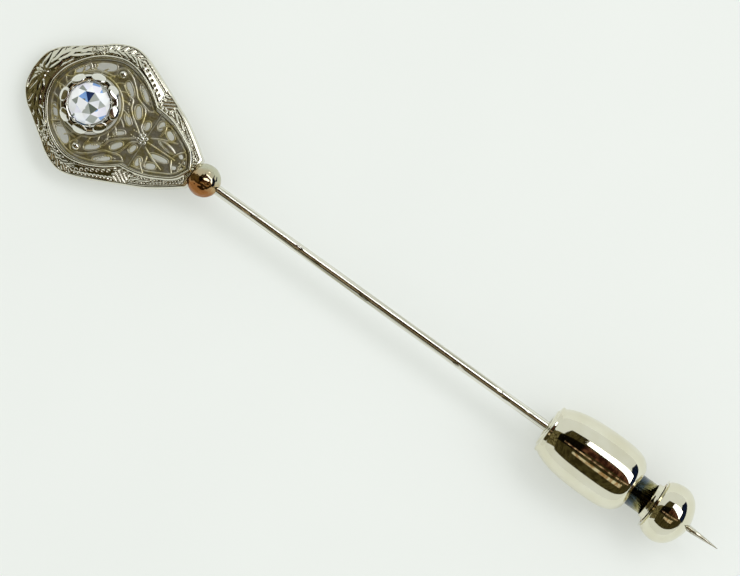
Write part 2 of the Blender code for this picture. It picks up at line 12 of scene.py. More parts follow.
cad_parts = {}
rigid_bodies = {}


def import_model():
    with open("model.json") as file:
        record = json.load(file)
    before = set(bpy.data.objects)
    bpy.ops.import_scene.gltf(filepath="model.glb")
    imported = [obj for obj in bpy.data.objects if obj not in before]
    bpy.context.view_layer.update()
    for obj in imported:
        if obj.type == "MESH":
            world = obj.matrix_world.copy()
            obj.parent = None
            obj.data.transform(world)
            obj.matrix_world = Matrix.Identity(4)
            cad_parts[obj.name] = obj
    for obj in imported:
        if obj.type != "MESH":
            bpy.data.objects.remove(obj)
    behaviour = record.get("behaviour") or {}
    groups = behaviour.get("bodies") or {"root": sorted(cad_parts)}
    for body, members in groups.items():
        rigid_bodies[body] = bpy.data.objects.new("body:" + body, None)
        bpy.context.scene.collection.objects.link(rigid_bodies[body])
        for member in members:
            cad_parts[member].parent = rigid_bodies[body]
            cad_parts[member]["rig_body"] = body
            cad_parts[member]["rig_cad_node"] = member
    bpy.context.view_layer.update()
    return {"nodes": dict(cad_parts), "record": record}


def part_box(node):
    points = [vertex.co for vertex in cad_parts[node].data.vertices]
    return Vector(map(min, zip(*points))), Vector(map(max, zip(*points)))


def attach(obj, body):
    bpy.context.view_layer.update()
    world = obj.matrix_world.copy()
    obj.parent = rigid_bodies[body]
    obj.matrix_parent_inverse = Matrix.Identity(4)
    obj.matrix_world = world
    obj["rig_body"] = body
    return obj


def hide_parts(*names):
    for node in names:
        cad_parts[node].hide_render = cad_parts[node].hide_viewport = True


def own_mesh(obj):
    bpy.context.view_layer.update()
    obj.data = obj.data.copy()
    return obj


bl_info = {
    "name": "Filigree stick pin",
    "version": (1, 0, 0),
    "blender": (4, 5, 0),
    "location": "3D View > Sidebar > Stick Pin",
    "description": "Models the engraved head, the stem and the clutch of a filigree stick pin",
    "category": "Add Mesh",
}

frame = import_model()

MM = 0.001
WELD = 1e-7


def mount(name):
    return next(m for m in frame["record"]["mounts"] if m["name"] == name)


# The stem's axis runs along X at the barrel's half height, and the head's back gives the head's
# tilt and its small skew.
BARREL_LOW, BARREL_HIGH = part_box("clutch_barrel")
AXIS_HEIGHT = (BARREL_LOW.z + BARREL_HIGH.z) / 2
BARREL_START = BARREL_LOW.x
SOCKET_DEPTH = 0.05 * MM
BALL_PLACE = Vector((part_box("pin_stem")[0].x - SOCKET_DEPTH, 0.0, AXIS_HEIGHT))
HEAD_BACK = Vector(mount("head_back")["axis"])


def head_frame():
    """The head's own frame: X to the point, Z out of its face, origin in the junction ball."""
    up = -HEAD_BACK.normalized()
    skew = math.atan2(HEAD_BACK.y, HEAD_BACK.x)
    along = Vector((math.cos(skew) * up.z, math.sin(skew) * up.z, math.hypot(up.x, up.y)))
    across = up.cross(along)
    turn = Matrix((along, across, up)).transposed().to_4x4()
    return Matrix.Translation(BALL_PLACE) @ turn


HEAD = head_frame()

# The border's edge and its opening, each as (distance from the ball, half-width) in millimetres;
# a third value of 1 marks a sharp corner. PARTNERS pairs each knot of the edge with a place
# along the opening, counted in its knots.
EDGE_KNOTS = (
    (15.75, 0.0), (15.52, 1.40), (14.75, 2.45), (13.50, 3.35), (12.15, 4.30, 1), (11.25, 4.98),
    (9.90, 5.50), (8.55, 5.28), (6.90, 4.60), (5.20, 3.82), (3.55, 3.06), (2.18, 2.20),
    (0.88, 1.24, 1), (0.88, 0.0, 1),
)
OPENING_KNOTS = (
    (13.58, 0.0), (13.25, 1.36), (12.20, 2.86), (10.88, 3.74), (9.60, 4.08), (8.20, 3.80),
    (6.95, 3.18), (5.95, 2.42, 1), (5.00, 2.32), (4.10, 2.10), (3.10, 1.66), (2.05, 1.02),
    (1.42, 0.0, 1),
)
PARTNERS = (0.0, 0.75, 1.4, 2.1, 2.6, 3.1, 3.9, 4.8, 6.0, 7.3, 9.0, 10.3, 11.3, 12.0)

# Heights above the stem's axis in the head's frame, in millimetres
BORDER_BACK = -1.25
RAIL_TOP = 0.45
SHEET_BACK = -0.55
SHEET_FRONT = 0.05
SHEET_SPLIT = 5.42
SOLDER_GAP = 0.04

# Gaps in the sheets: distance from the ball, half-width, half length and half breadth in
# millimetres, and turn in degrees
GALLERY_GAPS = (
    (12.40, 1.90, 0.58, 0.19, -50.0), (10.98, 3.04, 0.82, 0.34, -28.0),
    (8.52, 2.60, 0.60, 0.22, 39.0), (7.38, 2.96, 0.68, 0.20, 37.0),
    (7.00, 1.52, 0.50, 0.23, 52.0), (7.35, 0.60, 0.42, 0.16, 35.0),
    (5.84, 1.02, 0.32, 0.20, 78.0),
)
FAN_GAPS = (
    (4.95, 1.62, 0.34, 0.22, 90.0), (3.98, 1.38, 0.40, 0.22, 24.0), (3.75, 0.52, 0.72, 0.18, 9.0),
    (2.45, 0.52, 0.24, 0.15, 24.0), (1.88, 0.26, 0.16, 0.09, 24.0),
)
GAP_POINTS = 28
GAP_SQUARENESS = 0.82

# Setting and stone: distance from the ball, radii and heights in millimetres
SETTING = 10.35
GIRDLE_RADIUS = 1.60
GIRDLE_LOW = 1.00
GIRDLE_HIGH = 1.08
TABLE_RADIUS = 0.90
TABLE_HEIGHT = 1.56
CULET = -0.35
TABLE_CROWN = 0.004
SEAT_RADIUS = 2.25
PETALS = 8

# Share of the stone's look that comes from the painted reflections on its facets, and not from clear
# glass
PAINTED_REFLECTION_SHARE = 0.72

# Share of the floor's light that comes through it from below, as on a light table
PAPER_LIGHT = 0.28


def linear(code):
    """A hex sRGB colour as linear red, green and blue."""
    parts = [int(code[i:i + 2], 16) / 255 for i in (1, 3, 5)]
    return tuple(c / 12.92 if c <= 0.04045 else ((c + 0.055) / 1.055) ** 2.4 for c in parts)


def rgba(colour):
    return (*colour[:3], 1.0)


def colour_property(label, text, code):
    return FloatVectorProperty(
        name=label, description=text, default=linear(code), subtype="COLOR", min=0.0, max=1.0,
    )


class StickPinSettings(bpy.types.PropertyGroup):
    """Sizes and colours of the finished pin."""

    engraving_depth: FloatProperty(
        name="Engraving depth", description="How far the leaves stand above the border's ground",
        default=0.13 * MM, unit="LENGTH",
    )
    border_steps: IntProperty(
        name="Border steps", description="Sections round the border", default=620, min=100,
        max=900,
    )
    wire_radius: FloatProperty(
        name="Scroll wire radius", description="Radius of the wires laid on the sheets",
        default=0.10 * MM, unit="LENGTH",
    )
    lathe_steps: IntProperty(
        name="Lathe steps", description="Facets round the turned pieces", default=128, min=24,
        max=256,
    )
    gold: colour_property("White gold", "Polished face of the head", "#F0EDDC")
    gold_warm: colour_property("Worn white gold", "Where the rhodium has worn off", "#E2D79C")
    # Dark colour for the patina in the cuts, also used as painted shade down walls and under beads
    patina_and_shade_colour: colour_property("Patina", "Dirt and tarnish in the cuts", "#443712")
    nickel: colour_property("Nickel plate", "Barrel, ferrule and knob", "#F0EEE0")
    wire: colour_property("Stem wire", "Drawn stem", "#EDEBE0")
    tarnish: colour_property("Sleeve tarnish", "Tarnished end of the sleeve", "#566878")
    floor: colour_property("Floor", "Pale paper under the pin", "#F1F3EF")


def settings():
    return bpy.context.scene.stick_pin


# ---------------------------------------------------------------------------------------------
# Materials. Noise scales and the scales along X, Y and Z are grains, lines or patches per mm.
# ---------------------------------------------------------------------------------------------

def add_node(tree, kind, values=None, links=None, stops=(), **options):
    """Add a node with its options, its sockets' values, its ramp's stops and what is linked in."""
    made = tree.nodes.new(kind)
    for name, value in options.items():
        setattr(made, name, value)
    for socket, value in (values or {}).items():
        made.inputs[socket].default_value = value
    for socket, source in (links or {}).items():
        tree.links.new(source, made.inputs[socket])
    if stops:
        ramp = made.color_ramp
        while len(ramp.elements) < len(stops):
            ramp.elements.new(0.5)
        for element, (place, tone) in zip(ramp.elements, stops):
            element.position = place
            element.color = rgba(tone) if isinstance(tone, tuple) else (tone, tone, tone, 1.0)
    return made


def feed(tree, shader, **sources):
    """Link outputs into a shader's sockets, such as Base_Color or Normal."""
    for socket, source in sources.items():
        tree.links.new(source, shader.inputs[socket.replace("_", " ")])


def finish_of(name, build, **values):
    """The material of this name; the first time, its Principled shader is set and built on.

    Open fault: the frame itself brings materials named engraved_white_gold, bright_cut_white_gold
    and turned_brass, so those three come back plain and are never built. Names that the frame
    doesn't use would cure it.
    """
    made = bpy.data.materials.get(name)
    if made is None:
        made = bpy.data.materials.new(name)
        made.use_nodes = True
        shader = made.node_tree.nodes["Principled BSDF"]
        for socket, value in values.items():
            shader.inputs[socket.replace("_", " ")].default_value = value
        build(made.node_tree, shader)
    return made


def object_place(tree, x, y, z):
    """Object coordinates in millimetres, times these scales."""
    place = add_node(tree, "ShaderNodeTexCoord")
    return add_node(
        tree, "ShaderNodeMapping", {"Scale": (x / MM, y / MM, z / MM)},
        {"Vector": place.outputs["Object"]},
    ).outputs["Vector"]


def plain_metal(name, scales, shades, shine):
    """A metal whose shade and roughness both follow one noise, each between two values."""
    def build(tree, shader):
        marks = add_node(
            tree, "ShaderNodeTexNoise", {"Scale": 1.0, "Detail": 3.0},
            {"Vector": object_place(tree, *scales)},
        ).outputs["Fac"]
        shade = add_node(
            tree, "ShaderNodeValToRGB", links={"Fac": marks},
            stops=[(0.35, shades[0]), (0.65, shades[1])],
        )
        feed(tree, shader, Base_Color=shade.outputs["Color"])
        rough = add_node(
            tree, "ShaderNodeMapRange", {"To Min": shine[0], "To Max": shine[1]}, {"Value": marks},
        )
        feed(tree, shader, Roughness=rough.outputs["Result"])
    return finish_of(name, build, Metallic=1.0)


def chased_gold(name, worn, grain_depth, shine):
    """White gold, cast and then cut by hand: bright on the high places, dark with patina and painted
    shade in the hollows.

    Worn is the share of warm metal in the worn patches, which are about 0.8 mm wide, and shine
    the roughness of clean metal. The cast grain is drawn 0.1 mm wide, coarser than real, to show.
    """
    def build(tree, shader):
        s = settings()
        place = object_place(tree, 1.0, 1.0, 1.0)
        blotch = add_node(
            tree, "ShaderNodeTexNoise", {"Scale": 1.3, "Detail": 3.0}, {"Vector": place},
        )
        wear = add_node(
            tree, "ShaderNodeValToRGB", links={"Fac": blotch.outputs["Fac"]},
            stops=[(0.40, 0.0), (0.62, worn)],
        )
        metal = add_node(
            tree, "ShaderNodeMix", {6: rgba(s.gold), 7: rgba(s.gold_warm)},
            {0: wear.outputs["Color"]}, data_type="RGBA",
        )
        # patina in the hollows and painted shade down their walls, made uneven: the stored value
        # plus the stored value times noise
        patina_and_shade = add_node(tree, "ShaderNodeAttribute", attribute_name="patina_and_shade").outputs["Fac"]
        fine = add_node(
            tree, "ShaderNodeTexNoise", {"Scale": 6.0, "Detail": 4.0}, {"Vector": place},
        )
        uneven_patina_and_shade = add_node(
            tree, "ShaderNodeMath", links={0: patina_and_shade, 1: fine.outputs["Fac"], 2: patina_and_shade},
            operation="MULTIPLY_ADD",
        )
        dark = add_node(
            tree, "ShaderNodeValToRGB", links={"Fac": uneven_patina_and_shade.outputs["Value"]},
            stops=[(0.25, 0.0), (5 / 6, 1.0)],
        ).outputs["Color"]
        colour = add_node(
            tree, "ShaderNodeMix", {7: rgba(s.patina_and_shade_colour)}, {0: dark, 6: metal.outputs[2]},
            data_type="RGBA",
        )
        feed(tree, shader, Base_Color=colour.outputs[2])
        rough = add_node(
            tree, "ShaderNodeMapRange", {"To Min": shine, "To Max": 0.60}, {"Value": dark},
        )
        feed(tree, shader, Roughness=rough.outputs["Result"])
        grain = add_node(
            tree, "ShaderNodeTexNoise", {"Scale": 9.0, "Detail": 3.0}, {"Vector": place},
        )
        bump = add_node(
            tree, "ShaderNodeBump", {"Strength": 0.6, "Distance": grain_depth},
            {"Height": grain.outputs["Fac"]},
        )
        feed(tree, shader, Normal=bump.outputs["Normal"])
    return finish_of(name, build, Metallic=1.0)


def engraved_gold():
    return chased_gold("engraved_white_gold", 0.60, 0.010 * MM, 0.26)


def filigree_gold():
    return chased_gold("cast_white_gold_filigree", 0.90, 0.040 * MM, 0.32)


def bright_cut_gold():
    """White gold cut with a polished graver, which leaves mirror facets, smeared 0.3 mm wide."""
    def build(tree, shader):
        place = object_place(tree, 1.0, 1.0, 1.0)
        # painted shade, with patina: the lower parts of the beads and petals darken towards the dark
        # colour by the stored value
        patina_and_shade = add_node(tree, "ShaderNodeAttribute", attribute_name="patina_and_shade")
        colour = add_node(
            tree, "ShaderNodeMix", {6: rgba(linear("#F2F0E6")), 7: rgba(settings().patina_and_shade_colour)},
            {0: patina_and_shade.outputs["Fac"]}, data_type="RGBA",
        )
        feed(tree, shader, Base_Color=colour.outputs[2])
        smear = add_node(
            tree, "ShaderNodeTexNoise", {"Scale": 3.0, "Detail": 2.0}, {"Vector": place},
        )
        rough = add_node(
            tree, "ShaderNodeMapRange", {"To Min": 0.24, "To Max": 0.42},
            {"Value": smear.outputs["Fac"]},
        )
        feed(tree, shader, Roughness=rough.outputs["Result"])
    return finish_of("bright_cut_white_gold", build, Metallic=1.0)


def nickel_plated_brass():
    """Turned brass, nickel-plated and buffed: a soft mirror with faint polishing marks round it.

    The marks are drawn 0.17 mm apart, far coarser than real ones, and the finger smudges 2 mm wide.
    """
    def build(tree, shader):
        place = object_place(tree, 6.0, 0.5, 0.5)
        marks = add_node(
            tree, "ShaderNodeTexNoise", {"Scale": 1.0, "Detail": 4.0}, {"Vector": place},
        )
        smudge = add_node(
            tree, "ShaderNodeTexNoise", {"Scale": 0.5, "Detail": 2.0},
            {"Vector": object_place(tree, 1.0, 1.0, 1.0)},
        ).outputs["Fac"]
        tint = add_node(
            tree, "ShaderNodeMix", {6: rgba(settings().nickel), 7: rgba(linear("#D9D3B8"))},
            {0: smudge}, data_type="RGBA",
        )
        feed(tree, shader, Base_Color=tint.outputs[2])
        rough = add_node(
            tree, "ShaderNodeMapRange", {"To Min": 0.03, "To Max": 0.09}, {"Value": smudge},
        )
        feed(tree, shader, Roughness=rough.outputs["Result"])
        bump = add_node(
            tree, "ShaderNodeBump", {"Strength": 0.25, "Distance": 0.0012 * MM},
            {"Height": marks.outputs["Fac"]},
        )
        feed(tree, shader, Normal=bump.outputs["Normal"])
    return finish_of("nickel_plated_brass", build, Metallic=1.0)


def drawn_wire():
    """Hard wire pulled through a die, which leaves lines along it, and nicked by use.

    The lines are drawn 0.14 mm apart, coarser than real ones; the nicks are 1.1 by 0.4 mm.
    """
    def build(tree, shader):
        lines = add_node(
            tree, "ShaderNodeTexNoise", {"Scale": 1.0, "Detail": 3.0},
            {"Vector": object_place(tree, 0.12, 7.0, 7.0)},
        ).outputs["Fac"]
        shade = add_node(
            tree, "ShaderNodeValToRGB", links={"Fac": lines},
            stops=[(0.36, linear("#A5A18C")), (0.56, tuple(settings().wire))],
        )
        feed(tree, shader, Base_Color=shade.outputs["Color"])
        rough = add_node(
            tree, "ShaderNodeMapRange", {"To Min": 0.24, "To Max": 0.08}, {"Value": lines},
        )
        feed(tree, shader, Roughness=rough.outputs["Result"])
        spots = add_node(
            tree, "ShaderNodeTexNoise", {"Scale": 1.0, "Detail": 0.0},
            {"Vector": object_place(tree, 0.9, 2.5, 2.5)},
        )
        nicks = add_node(
            tree, "ShaderNodeMapRange",
            {"From Min": 0.66, "From Max": 0.74, "To Min": 0.0, "To Max": -2.0},
            {"Value": spots.outputs["Fac"]},
        )
        height = add_node(
            tree, "ShaderNodeMath", links={0: lines, 1: nicks.outputs["Result"]}, operation="ADD",
        )
        bump = add_node(
            tree, "ShaderNodeBump", {"Strength": 0.8, "Distance": 0.008 * MM},
            {"Height": height.outputs["Value"]},
        )
        feed(tree, shader, Normal=bump.outputs["Normal"])
    return finish_of("drawn_nickel_silver_wire", build, Metallic=1.0)


def tarnished_sleeve():
    """Plated steel sleeve: dark blue-grey to black towards the barrel's end, and pale metal towards
    the knob.

    The stains are about 0.5 mm long and 0.8 mm round the sleeve.
    """
    def build(tree, shader):
        place = add_node(tree, "ShaderNodeTexCoord")
        split = add_node(tree, "ShaderNodeSeparateXYZ", links={"Vector": place.outputs["Object"]})
        along = add_node(
            tree, "ShaderNodeMapRange",
            {"From Min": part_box("clutch_barrel")[1].x, "From Max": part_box("neck_ferrule")[0].x},
            {"Value": split.outputs["X"]},
        )
        cloud = add_node(
            tree, "ShaderNodeTexNoise", {"Scale": 1.0, "Detail": 3.0},
            {"Vector": object_place(tree, 2.2, 1.2, 1.2)},
        ).outputs["Fac"]
        mixed = add_node(
            tree, "ShaderNodeMath", {1: 0.35}, {0: cloud, 2: along.outputs["Result"]},
            operation="MULTIPLY_ADD",
        )
        shade = add_node(
            tree, "ShaderNodeValToRGB", links={"Fac": mixed.outputs["Value"]},
            stops=[
                (0.20, linear("#36424C")), (0.50, tuple(settings().tarnish)),
                (0.80, linear("#A09C6A")), (1.0, linear("#DCD6AC")),
            ],
        )
        feed(tree, shader, Base_Color=shade.outputs["Color"])
        rough = add_node(
            tree, "ShaderNodeMapRange", {"To Min": 0.05, "To Max": 0.14}, {"Value": cloud},
        )
        feed(tree, shader, Roughness=rough.outputs["Result"])
    return finish_of("tarnished_plated_steel", build, Metallic=1.0)


def polished_ball():
    """Cast white gold ball, polished by hand, with a painted warm reflection over one side.

    The painted orange-brown reflection lies on the -Y side, uneven in patches about 1.1 mm wide, and
    the dents are 0.7 mm wide.
    """
    def build(tree, shader):
        place = object_place(tree, 1.0, 1.0, 1.0)
        patch = add_node(
            tree, "ShaderNodeTexNoise", {"Scale": 0.9, "Detail": 2.0}, {"Vector": place},
        ).outputs["Fac"]
        split = add_node(tree, "ShaderNodeSeparateXYZ", links={"Vector": place})
        # painted warm reflection: the ball turns orange-brown towards its -Y side, unevenly by the
        # patches
        side = add_node(
            tree, "ShaderNodeMapRange", {"From Min": 1.2, "From Max": -1.2},
            {"Value": split.outputs["Y"]},
        )
        mixed = add_node(
            tree, "ShaderNodeMath", {1: 0.6}, {0: patch, 2: side.outputs["Result"]},
            operation="MULTIPLY_ADD",
        )
        shade = add_node(
            tree, "ShaderNodeValToRGB", links={"Fac": mixed.outputs["Value"]},
            stops=[(0.45, linear("#C4C3AC")), (0.78, linear("#BFA073")), (1.05, linear("#9A6638"))],
        )
        feed(tree, shader, Base_Color=shade.outputs["Color"])
        rough = add_node(
            tree, "ShaderNodeMapRange", {"To Min": 0.05, "To Max": 0.16}, {"Value": patch},
        )
        feed(tree, shader, Roughness=rough.outputs["Result"])
        dents = add_node(
            tree, "ShaderNodeTexNoise", {"Scale": 1.5, "Detail": 1.0}, {"Vector": place},
        )
        bump = add_node(
            tree, "ShaderNodeBump", {"Strength": 1.0, "Distance": 0.16 * MM},
            {"Height": dents.outputs["Fac"]},
        )
        feed(tree, shader, Normal=bump.outputs["Normal"])
    return finish_of("polished_white_gold_ball", build, Metallic=1.0)


def turned_brass():
    """Unplated brass from the lathe, with rings drawn 0.11 mm apart."""
    shades = linear("#A8843E"), linear("#D8B566")
    return plain_metal("turned_brass", (9.0, 0.6, 0.6), shades, (0.20, 0.36))


def turned_gold():
    """White gold as it comes off the lathe, dull inside the cup, with rings drawn 0.17 mm apart."""
    shades = linear("#8E8764"), tuple(settings().gold)
    return plain_metal("turned_white_gold", (1.2, 1.2, 6.0), shades, (0.18, 0.32))


def steel(name, shine):
    """Hard steel under a thin oil film, which is uneven over about 0.3 mm."""
    return plain_metal(name, (3.0, 3.0, 3.0), (linear("#8C8E92"), linear("#C3C5C8")), shine)


def spring_steel():
    return steel("drawn_spring_steel", (0.16, 0.34))


def ground_steel():
    return steel("ground_steel_balls", (0.04, 0.10))


def clear_stone():
    """Clear brilliant-cut stone: each facet shows a painted reflection of light, sky or shade, as
    its turn decides.

    Most of what shows is that painted reflection, a tone which the facet attribute holds.
    """
    def build(tree, shader):
        # the painted reflection stored on each facet
        facet = add_node(tree, "ShaderNodeAttribute", attribute_name="facet")
        inner = add_node(
            tree, "ShaderNodeTexVoronoi", {"Scale": 1.0},
            {"Vector": object_place(tree, 1.5, 1.5, 0.1)},
        )
        tone = add_node(
            tree, "ShaderNodeMath", {1: 0.12},
            {0: inner.outputs["Color"], 2: facet.outputs["Fac"]}, operation="MULTIPLY_ADD",
        )
        shade = add_node(
            tree, "ShaderNodeValToRGB", links={"Fac": tone.outputs["Value"]},
            stops=[
                (0.0, linear("#FFFFFF")), (0.26, linear("#B4B8AE")), (0.38, linear("#FFFFFF")),
                (0.52, linear("#8C9288")), (0.58, linear("#F6F4FF")), (0.70, linear("#86AEE6")),
                (0.80, linear("#5E6656")), (0.92, linear("#1C2A50")),
            ],
        )
        shade.color_ramp.interpolation = "CONSTANT"
        colour = shade.outputs["Color"]
        feed(tree, shader, Base_Color=colour)
        # painted light: the facets glow a little in their painted reflection tones
        shine = add_node(
            tree, "ShaderNodeBsdfPrincipled",
            {"Metallic": 0.20, "Roughness": 0.08, "Emission Strength": 0.20},
            {"Base Color": colour, "Emission Color": colour},
        )
        blend = add_node(
            tree, "ShaderNodeMixShader", {0: PAINTED_REFLECTION_SHARE},
            {1: shader.outputs[0], 2: shine.outputs[0]},
        )
        feed(tree, tree.nodes["Material Output"], Surface=blend.outputs[0])
    return finish_of(
        "clear_brilliant_stone", build, IOR=2.0, Transmission_Weight=1.0, Roughness=0.0,
    )


def floor_paper():
    """Smooth pale paper on a dim light table, with clouds of fibre 20 mm wide."""
    def build(tree, shader):
        fibre = add_node(
            tree, "ShaderNodeTexNoise", {"Scale": 1.0, "Detail": 2.0},
            {"Vector": object_place(tree, 0.05, 0.05, 0.05)},
        )
        base = tuple(settings().floor)
        shade = add_node(
            tree, "ShaderNodeValToRGB", links={"Fac": fibre.outputs["Fac"]},
            stops=[(0.3, tuple(c * 0.985 for c in base)), (0.7, base)],
        ).outputs["Color"]
        dull = add_node(
            tree, "ShaderNodeMix", {0: PAPER_LIGHT, 7: (0.0, 0.0, 0.0, 1.0)}, {6: shade},
            data_type="RGBA",
        )
        feed(tree, shader, Base_Color=dull.outputs[2], Emission_Color=shade)
    return finish_of(
        "pale_paper", build, Roughness=0.9, Specular_IOR_Level=0.1, Emission_Strength=PAPER_LIGHT,
    )


def glow(name, colour, strength, second):
    """A card that only gives light of its own, in streaks of two colours."""
    made = bpy.data.materials.new(name)
    made.use_nodes = True
    tree = made.node_tree
    tree.nodes.clear()
    streak = add_node(
        tree, "ShaderNodeTexNoise", {"Scale": 1.0, "Detail": 2.0},
        {"Vector": object_place(tree, 0.035, 0.003, 0.006)},
    )
    shade = add_node(
        tree, "ShaderNodeValToRGB", links={"Fac": streak.outputs["Fac"]},
        stops=[(0.44, linear(second)), (0.54, linear(colour))],
    )
    light = add_node(
        tree, "ShaderNodeEmission", {"Strength": strength}, {"Color": shade.outputs["Color"]},
    )
    add_node(tree, "ShaderNodeOutputMaterial", links={"Surface": light.outputs["Emission"]})
    return made


# ---------------------------------------------------------------------------------------------
# Modelling helpers
# ---------------------------------------------------------------------------------------------

def deselect():
    bpy.ops.object.select_all(action="DESELECT")


def only(piece):
    """Make one object the selected and active one."""
    deselect()
    piece.select_set(True)
    bpy.context.view_layer.objects.active = piece
    return piece


def weld(piece, outwards=True):
    """Merge the doubles of a mesh and turn its faces outwards."""
    only(piece)
    bpy.ops.object.mode_set(mode="EDIT")
    bpy.ops.mesh.select_all(action="SELECT")
    bpy.ops.mesh.remove_doubles(threshold=WELD)
    if outwards:
        bpy.ops.mesh.normals_make_consistent(inside=False)
        if bmesh.from_edit_mesh(piece.data).calc_volume(signed=True) < 0:
            bpy.ops.mesh.flip_normals()
    bpy.ops.object.mode_set(mode="OBJECT")
    return piece


def joined(pieces, name):
    """Join several objects into one."""
    deselect()
    for piece in pieces:
        piece.select_set(True)
    bpy.context.view_layer.objects.active = pieces[0]
    if len(pieces) > 1:
        bpy.ops.object.join()
    made = bpy.context.view_layer.objects.active
    made.name = name
    return made


def finish_piece(piece, finish, body, stands_for=(), angle=35.0, place=None):
    """Put a piece in the frame, give it its finish and let it ride on its body."""
    only(piece)
    bpy.ops.object.transform_apply(location=True, rotation=True, scale=True)
    if place is not None:
        piece.data.transform(place)
    if angle is None:
        bpy.ops.object.shade_flat()
    else:
        bpy.ops.object.shade_smooth_by_angle(angle=math.radians(angle))
    piece.data.materials.clear()
    piece.data.materials.append(finish)
    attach(piece, body)
    if stands_for:
        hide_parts(*stands_for)
    return piece


def smooth_copy(node, name, finish, body, angle=30.0):
    """A CAD node's own shape, welded and shaded smooth."""
    source = frame["nodes"][node]
    copy = source.copy()
    copy.data = source.data.copy()
    copy.parent = None
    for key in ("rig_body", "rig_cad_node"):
        if key in copy:
            del copy[key]
    bpy.context.scene.collection.objects.link(copy)
    copy.name = name
    weld(copy, outwards=False)
    return finish_piece(copy, finish, body, (node,), angle)


def curve_point(start, leave, end, arrive, t):
    """A point on the curve that leaves one point and arrives at the next in the given directions."""
    a = 2 * t**3 - 3 * t**2 + 1
    b = t**3 - 2 * t**2 + t
    return a * start + b * leave + (1 - a) * end + (t**3 - t**2) * arrive


def spaced(knots, at):
    """A place on the smooth line through the knots, which stays sharp at the marked corners."""
    i = min(int(at), len(knots) - 2)
    t = at - i
    start, end = Vector(knots[i][:2]), Vector(knots[i + 1][:2])
    before = Vector(knots[i - 1][:2]) if i > 0 else Vector((start.x, -end.y))
    after = Vector(knots[i + 2][:2]) if i + 2 < len(knots) else end
    leave = end - start if len(knots[i]) > 2 else (end - before) / 2
    arrive = end - start if len(knots[i + 1]) > 2 else (after - start) / 2
    return curve_point(start, leave, end, arrive, t)


def smooth_line(knots, samples):
    """The smooth line through all the knots."""
    count = (len(knots) - 1) * samples
    return [spaced(knots, i / samples) for i in range(count + 1)]


def lathe(name, profile, steps):
    """Spin a closed profile of (place along the stem, radius) in metres about the stem's axis."""
    deselect()
    bpy.ops.mesh.primitive_circle_add(vertices=len(profile), radius=MM)
    piece = bpy.context.object
    piece.name = name
    for vertex, (along, radius) in zip(piece.data.vertices, profile):
        vertex.co = (along, 0.0, AXIS_HEIGHT + radius)
    bpy.ops.object.mode_set(mode="EDIT")
    bpy.ops.mesh.select_all(action="SELECT")
    bpy.ops.mesh.spin(
        steps=steps, angle=math.tau, center=(0.0, 0.0, AXIS_HEIGHT), axis=(1.0, 0.0, 0.0),
    )
    bpy.ops.object.mode_set(mode="OBJECT")
    return weld(piece)


def rod(points, radius, tip=0.0, closed=False):
    """A round wire through points in metres; a tip thins it towards its ends by that share."""
    deselect()
    bpy.ops.curve.primitive_nurbs_path_add()
    data = bpy.context.object.data
    data.splines.clear()
    spline = data.splines.new("POLY")
    spline.points.add(len(points) - 1)
    for i, (spot, place) in enumerate(zip(spline.points, points)):
        spot.co = (*place, 1.0)
        spot.radius = 1.0 - tip * (2 * i / (len(points) - 1) - 1)**2
    spline.use_cyclic_u = closed
    data.bevel_depth = radius
    data.bevel_resolution = 3
    data.use_fill_caps = not closed
    bpy.ops.object.convert(target="MESH")
    return weld(bpy.context.object)


def wire(points, radius, tip=0.0, closed=False):
    """A smooth round wire through (distance, half-width, height) in the head, in millimetres."""
    line = smooth_route(points, 3 if closed else 6, closed)
    return rod([(-p * MM, q * MM, z * MM) for p, q, z in line], radius, tip, closed)


def smooth_route(points, samples, closed=False):
    """More points along a smooth route through the given ones."""
    knots = [Vector(p) for p in points]
    count = len(knots)
    line = []
    for i in range(count if closed else count - 1):
        start, end = knots[i], knots[(i + 1) % count]
        before = knots[i - 1] if i > 0 or closed else start
        after = knots[(i + 2) % count] if i + 2 < count or closed else end
        leave, arrive = (end - before) / 2, (after - start) / 2
        line += [curve_point(start, leave, end, arrive, k / samples) for k in range(samples)]
    return line if closed else line + [knots[-1]]


def sheet(outlines, back, front):
    """A flat sheet between two heights; the first outline is its edge, the others are its gaps."""
    deselect()
    bpy.ops.curve.primitive_bezier_circle_add()
    flat = bpy.context.object
    data = flat.data
    data.splines.clear()
    data.dimensions = "2D"
    data.fill_mode = "BOTH"
    for outline in outlines:
        spline = data.splines.new("POLY")
        spline.points.add(len(outline) - 1)
        for spot, (distance, across) in zip(spline.points, outline):
            spot.co = (-distance * MM, across * MM, 0.0, 1.0)
        spline.use_cyclic_u = True
    data.extrude = (front - back) / 2 * MM
    bpy.ops.object.convert(target="MESH")
    plate = bpy.context.object
    plate.data.transform(Matrix.Translation((0.0, 0.0, (front + back) / 2 * MM)))
    return weld(plate)


def bead(place, radius, height, segments=12, rings=8):
    """A round bead in the head's frame at (distance, half-width, height) in millimetres."""
    distance, across, level = place
    deselect()
    bpy.ops.mesh.primitive_uv_sphere_add(
        segments=segments, ring_count=rings, radius=radius * MM,
        location=(-distance * MM, across * MM, level * MM),
    )
    ball = bpy.context.object
    ball.scale = (1.0, 1.0, height / radius)
    bpy.ops.object.transform_apply(location=True, rotation=True, scale=True)
    return ball


def store(piece, name, domain, values):
    """Store one number for each point or face of a piece."""
    layer = piece.data.attributes.new(name, "FLOAT", domain)
    layer.data.foreach_set("value", np.asarray(values, np.float32).reshape(-1))


def mark_patina_and_shade(piece, shade):
    """Store how dark each point's patina and painted shade are, from its place in the head (mm)."""
    places = np.zeros(len(piece.data.vertices) * 3)
    piece.data.vertices.foreach_get("co", places)
    store(piece, "patina_and_shade", "POINT", np.clip(shade(places.reshape(-1, 3) / MM), 0.0, 1.0))


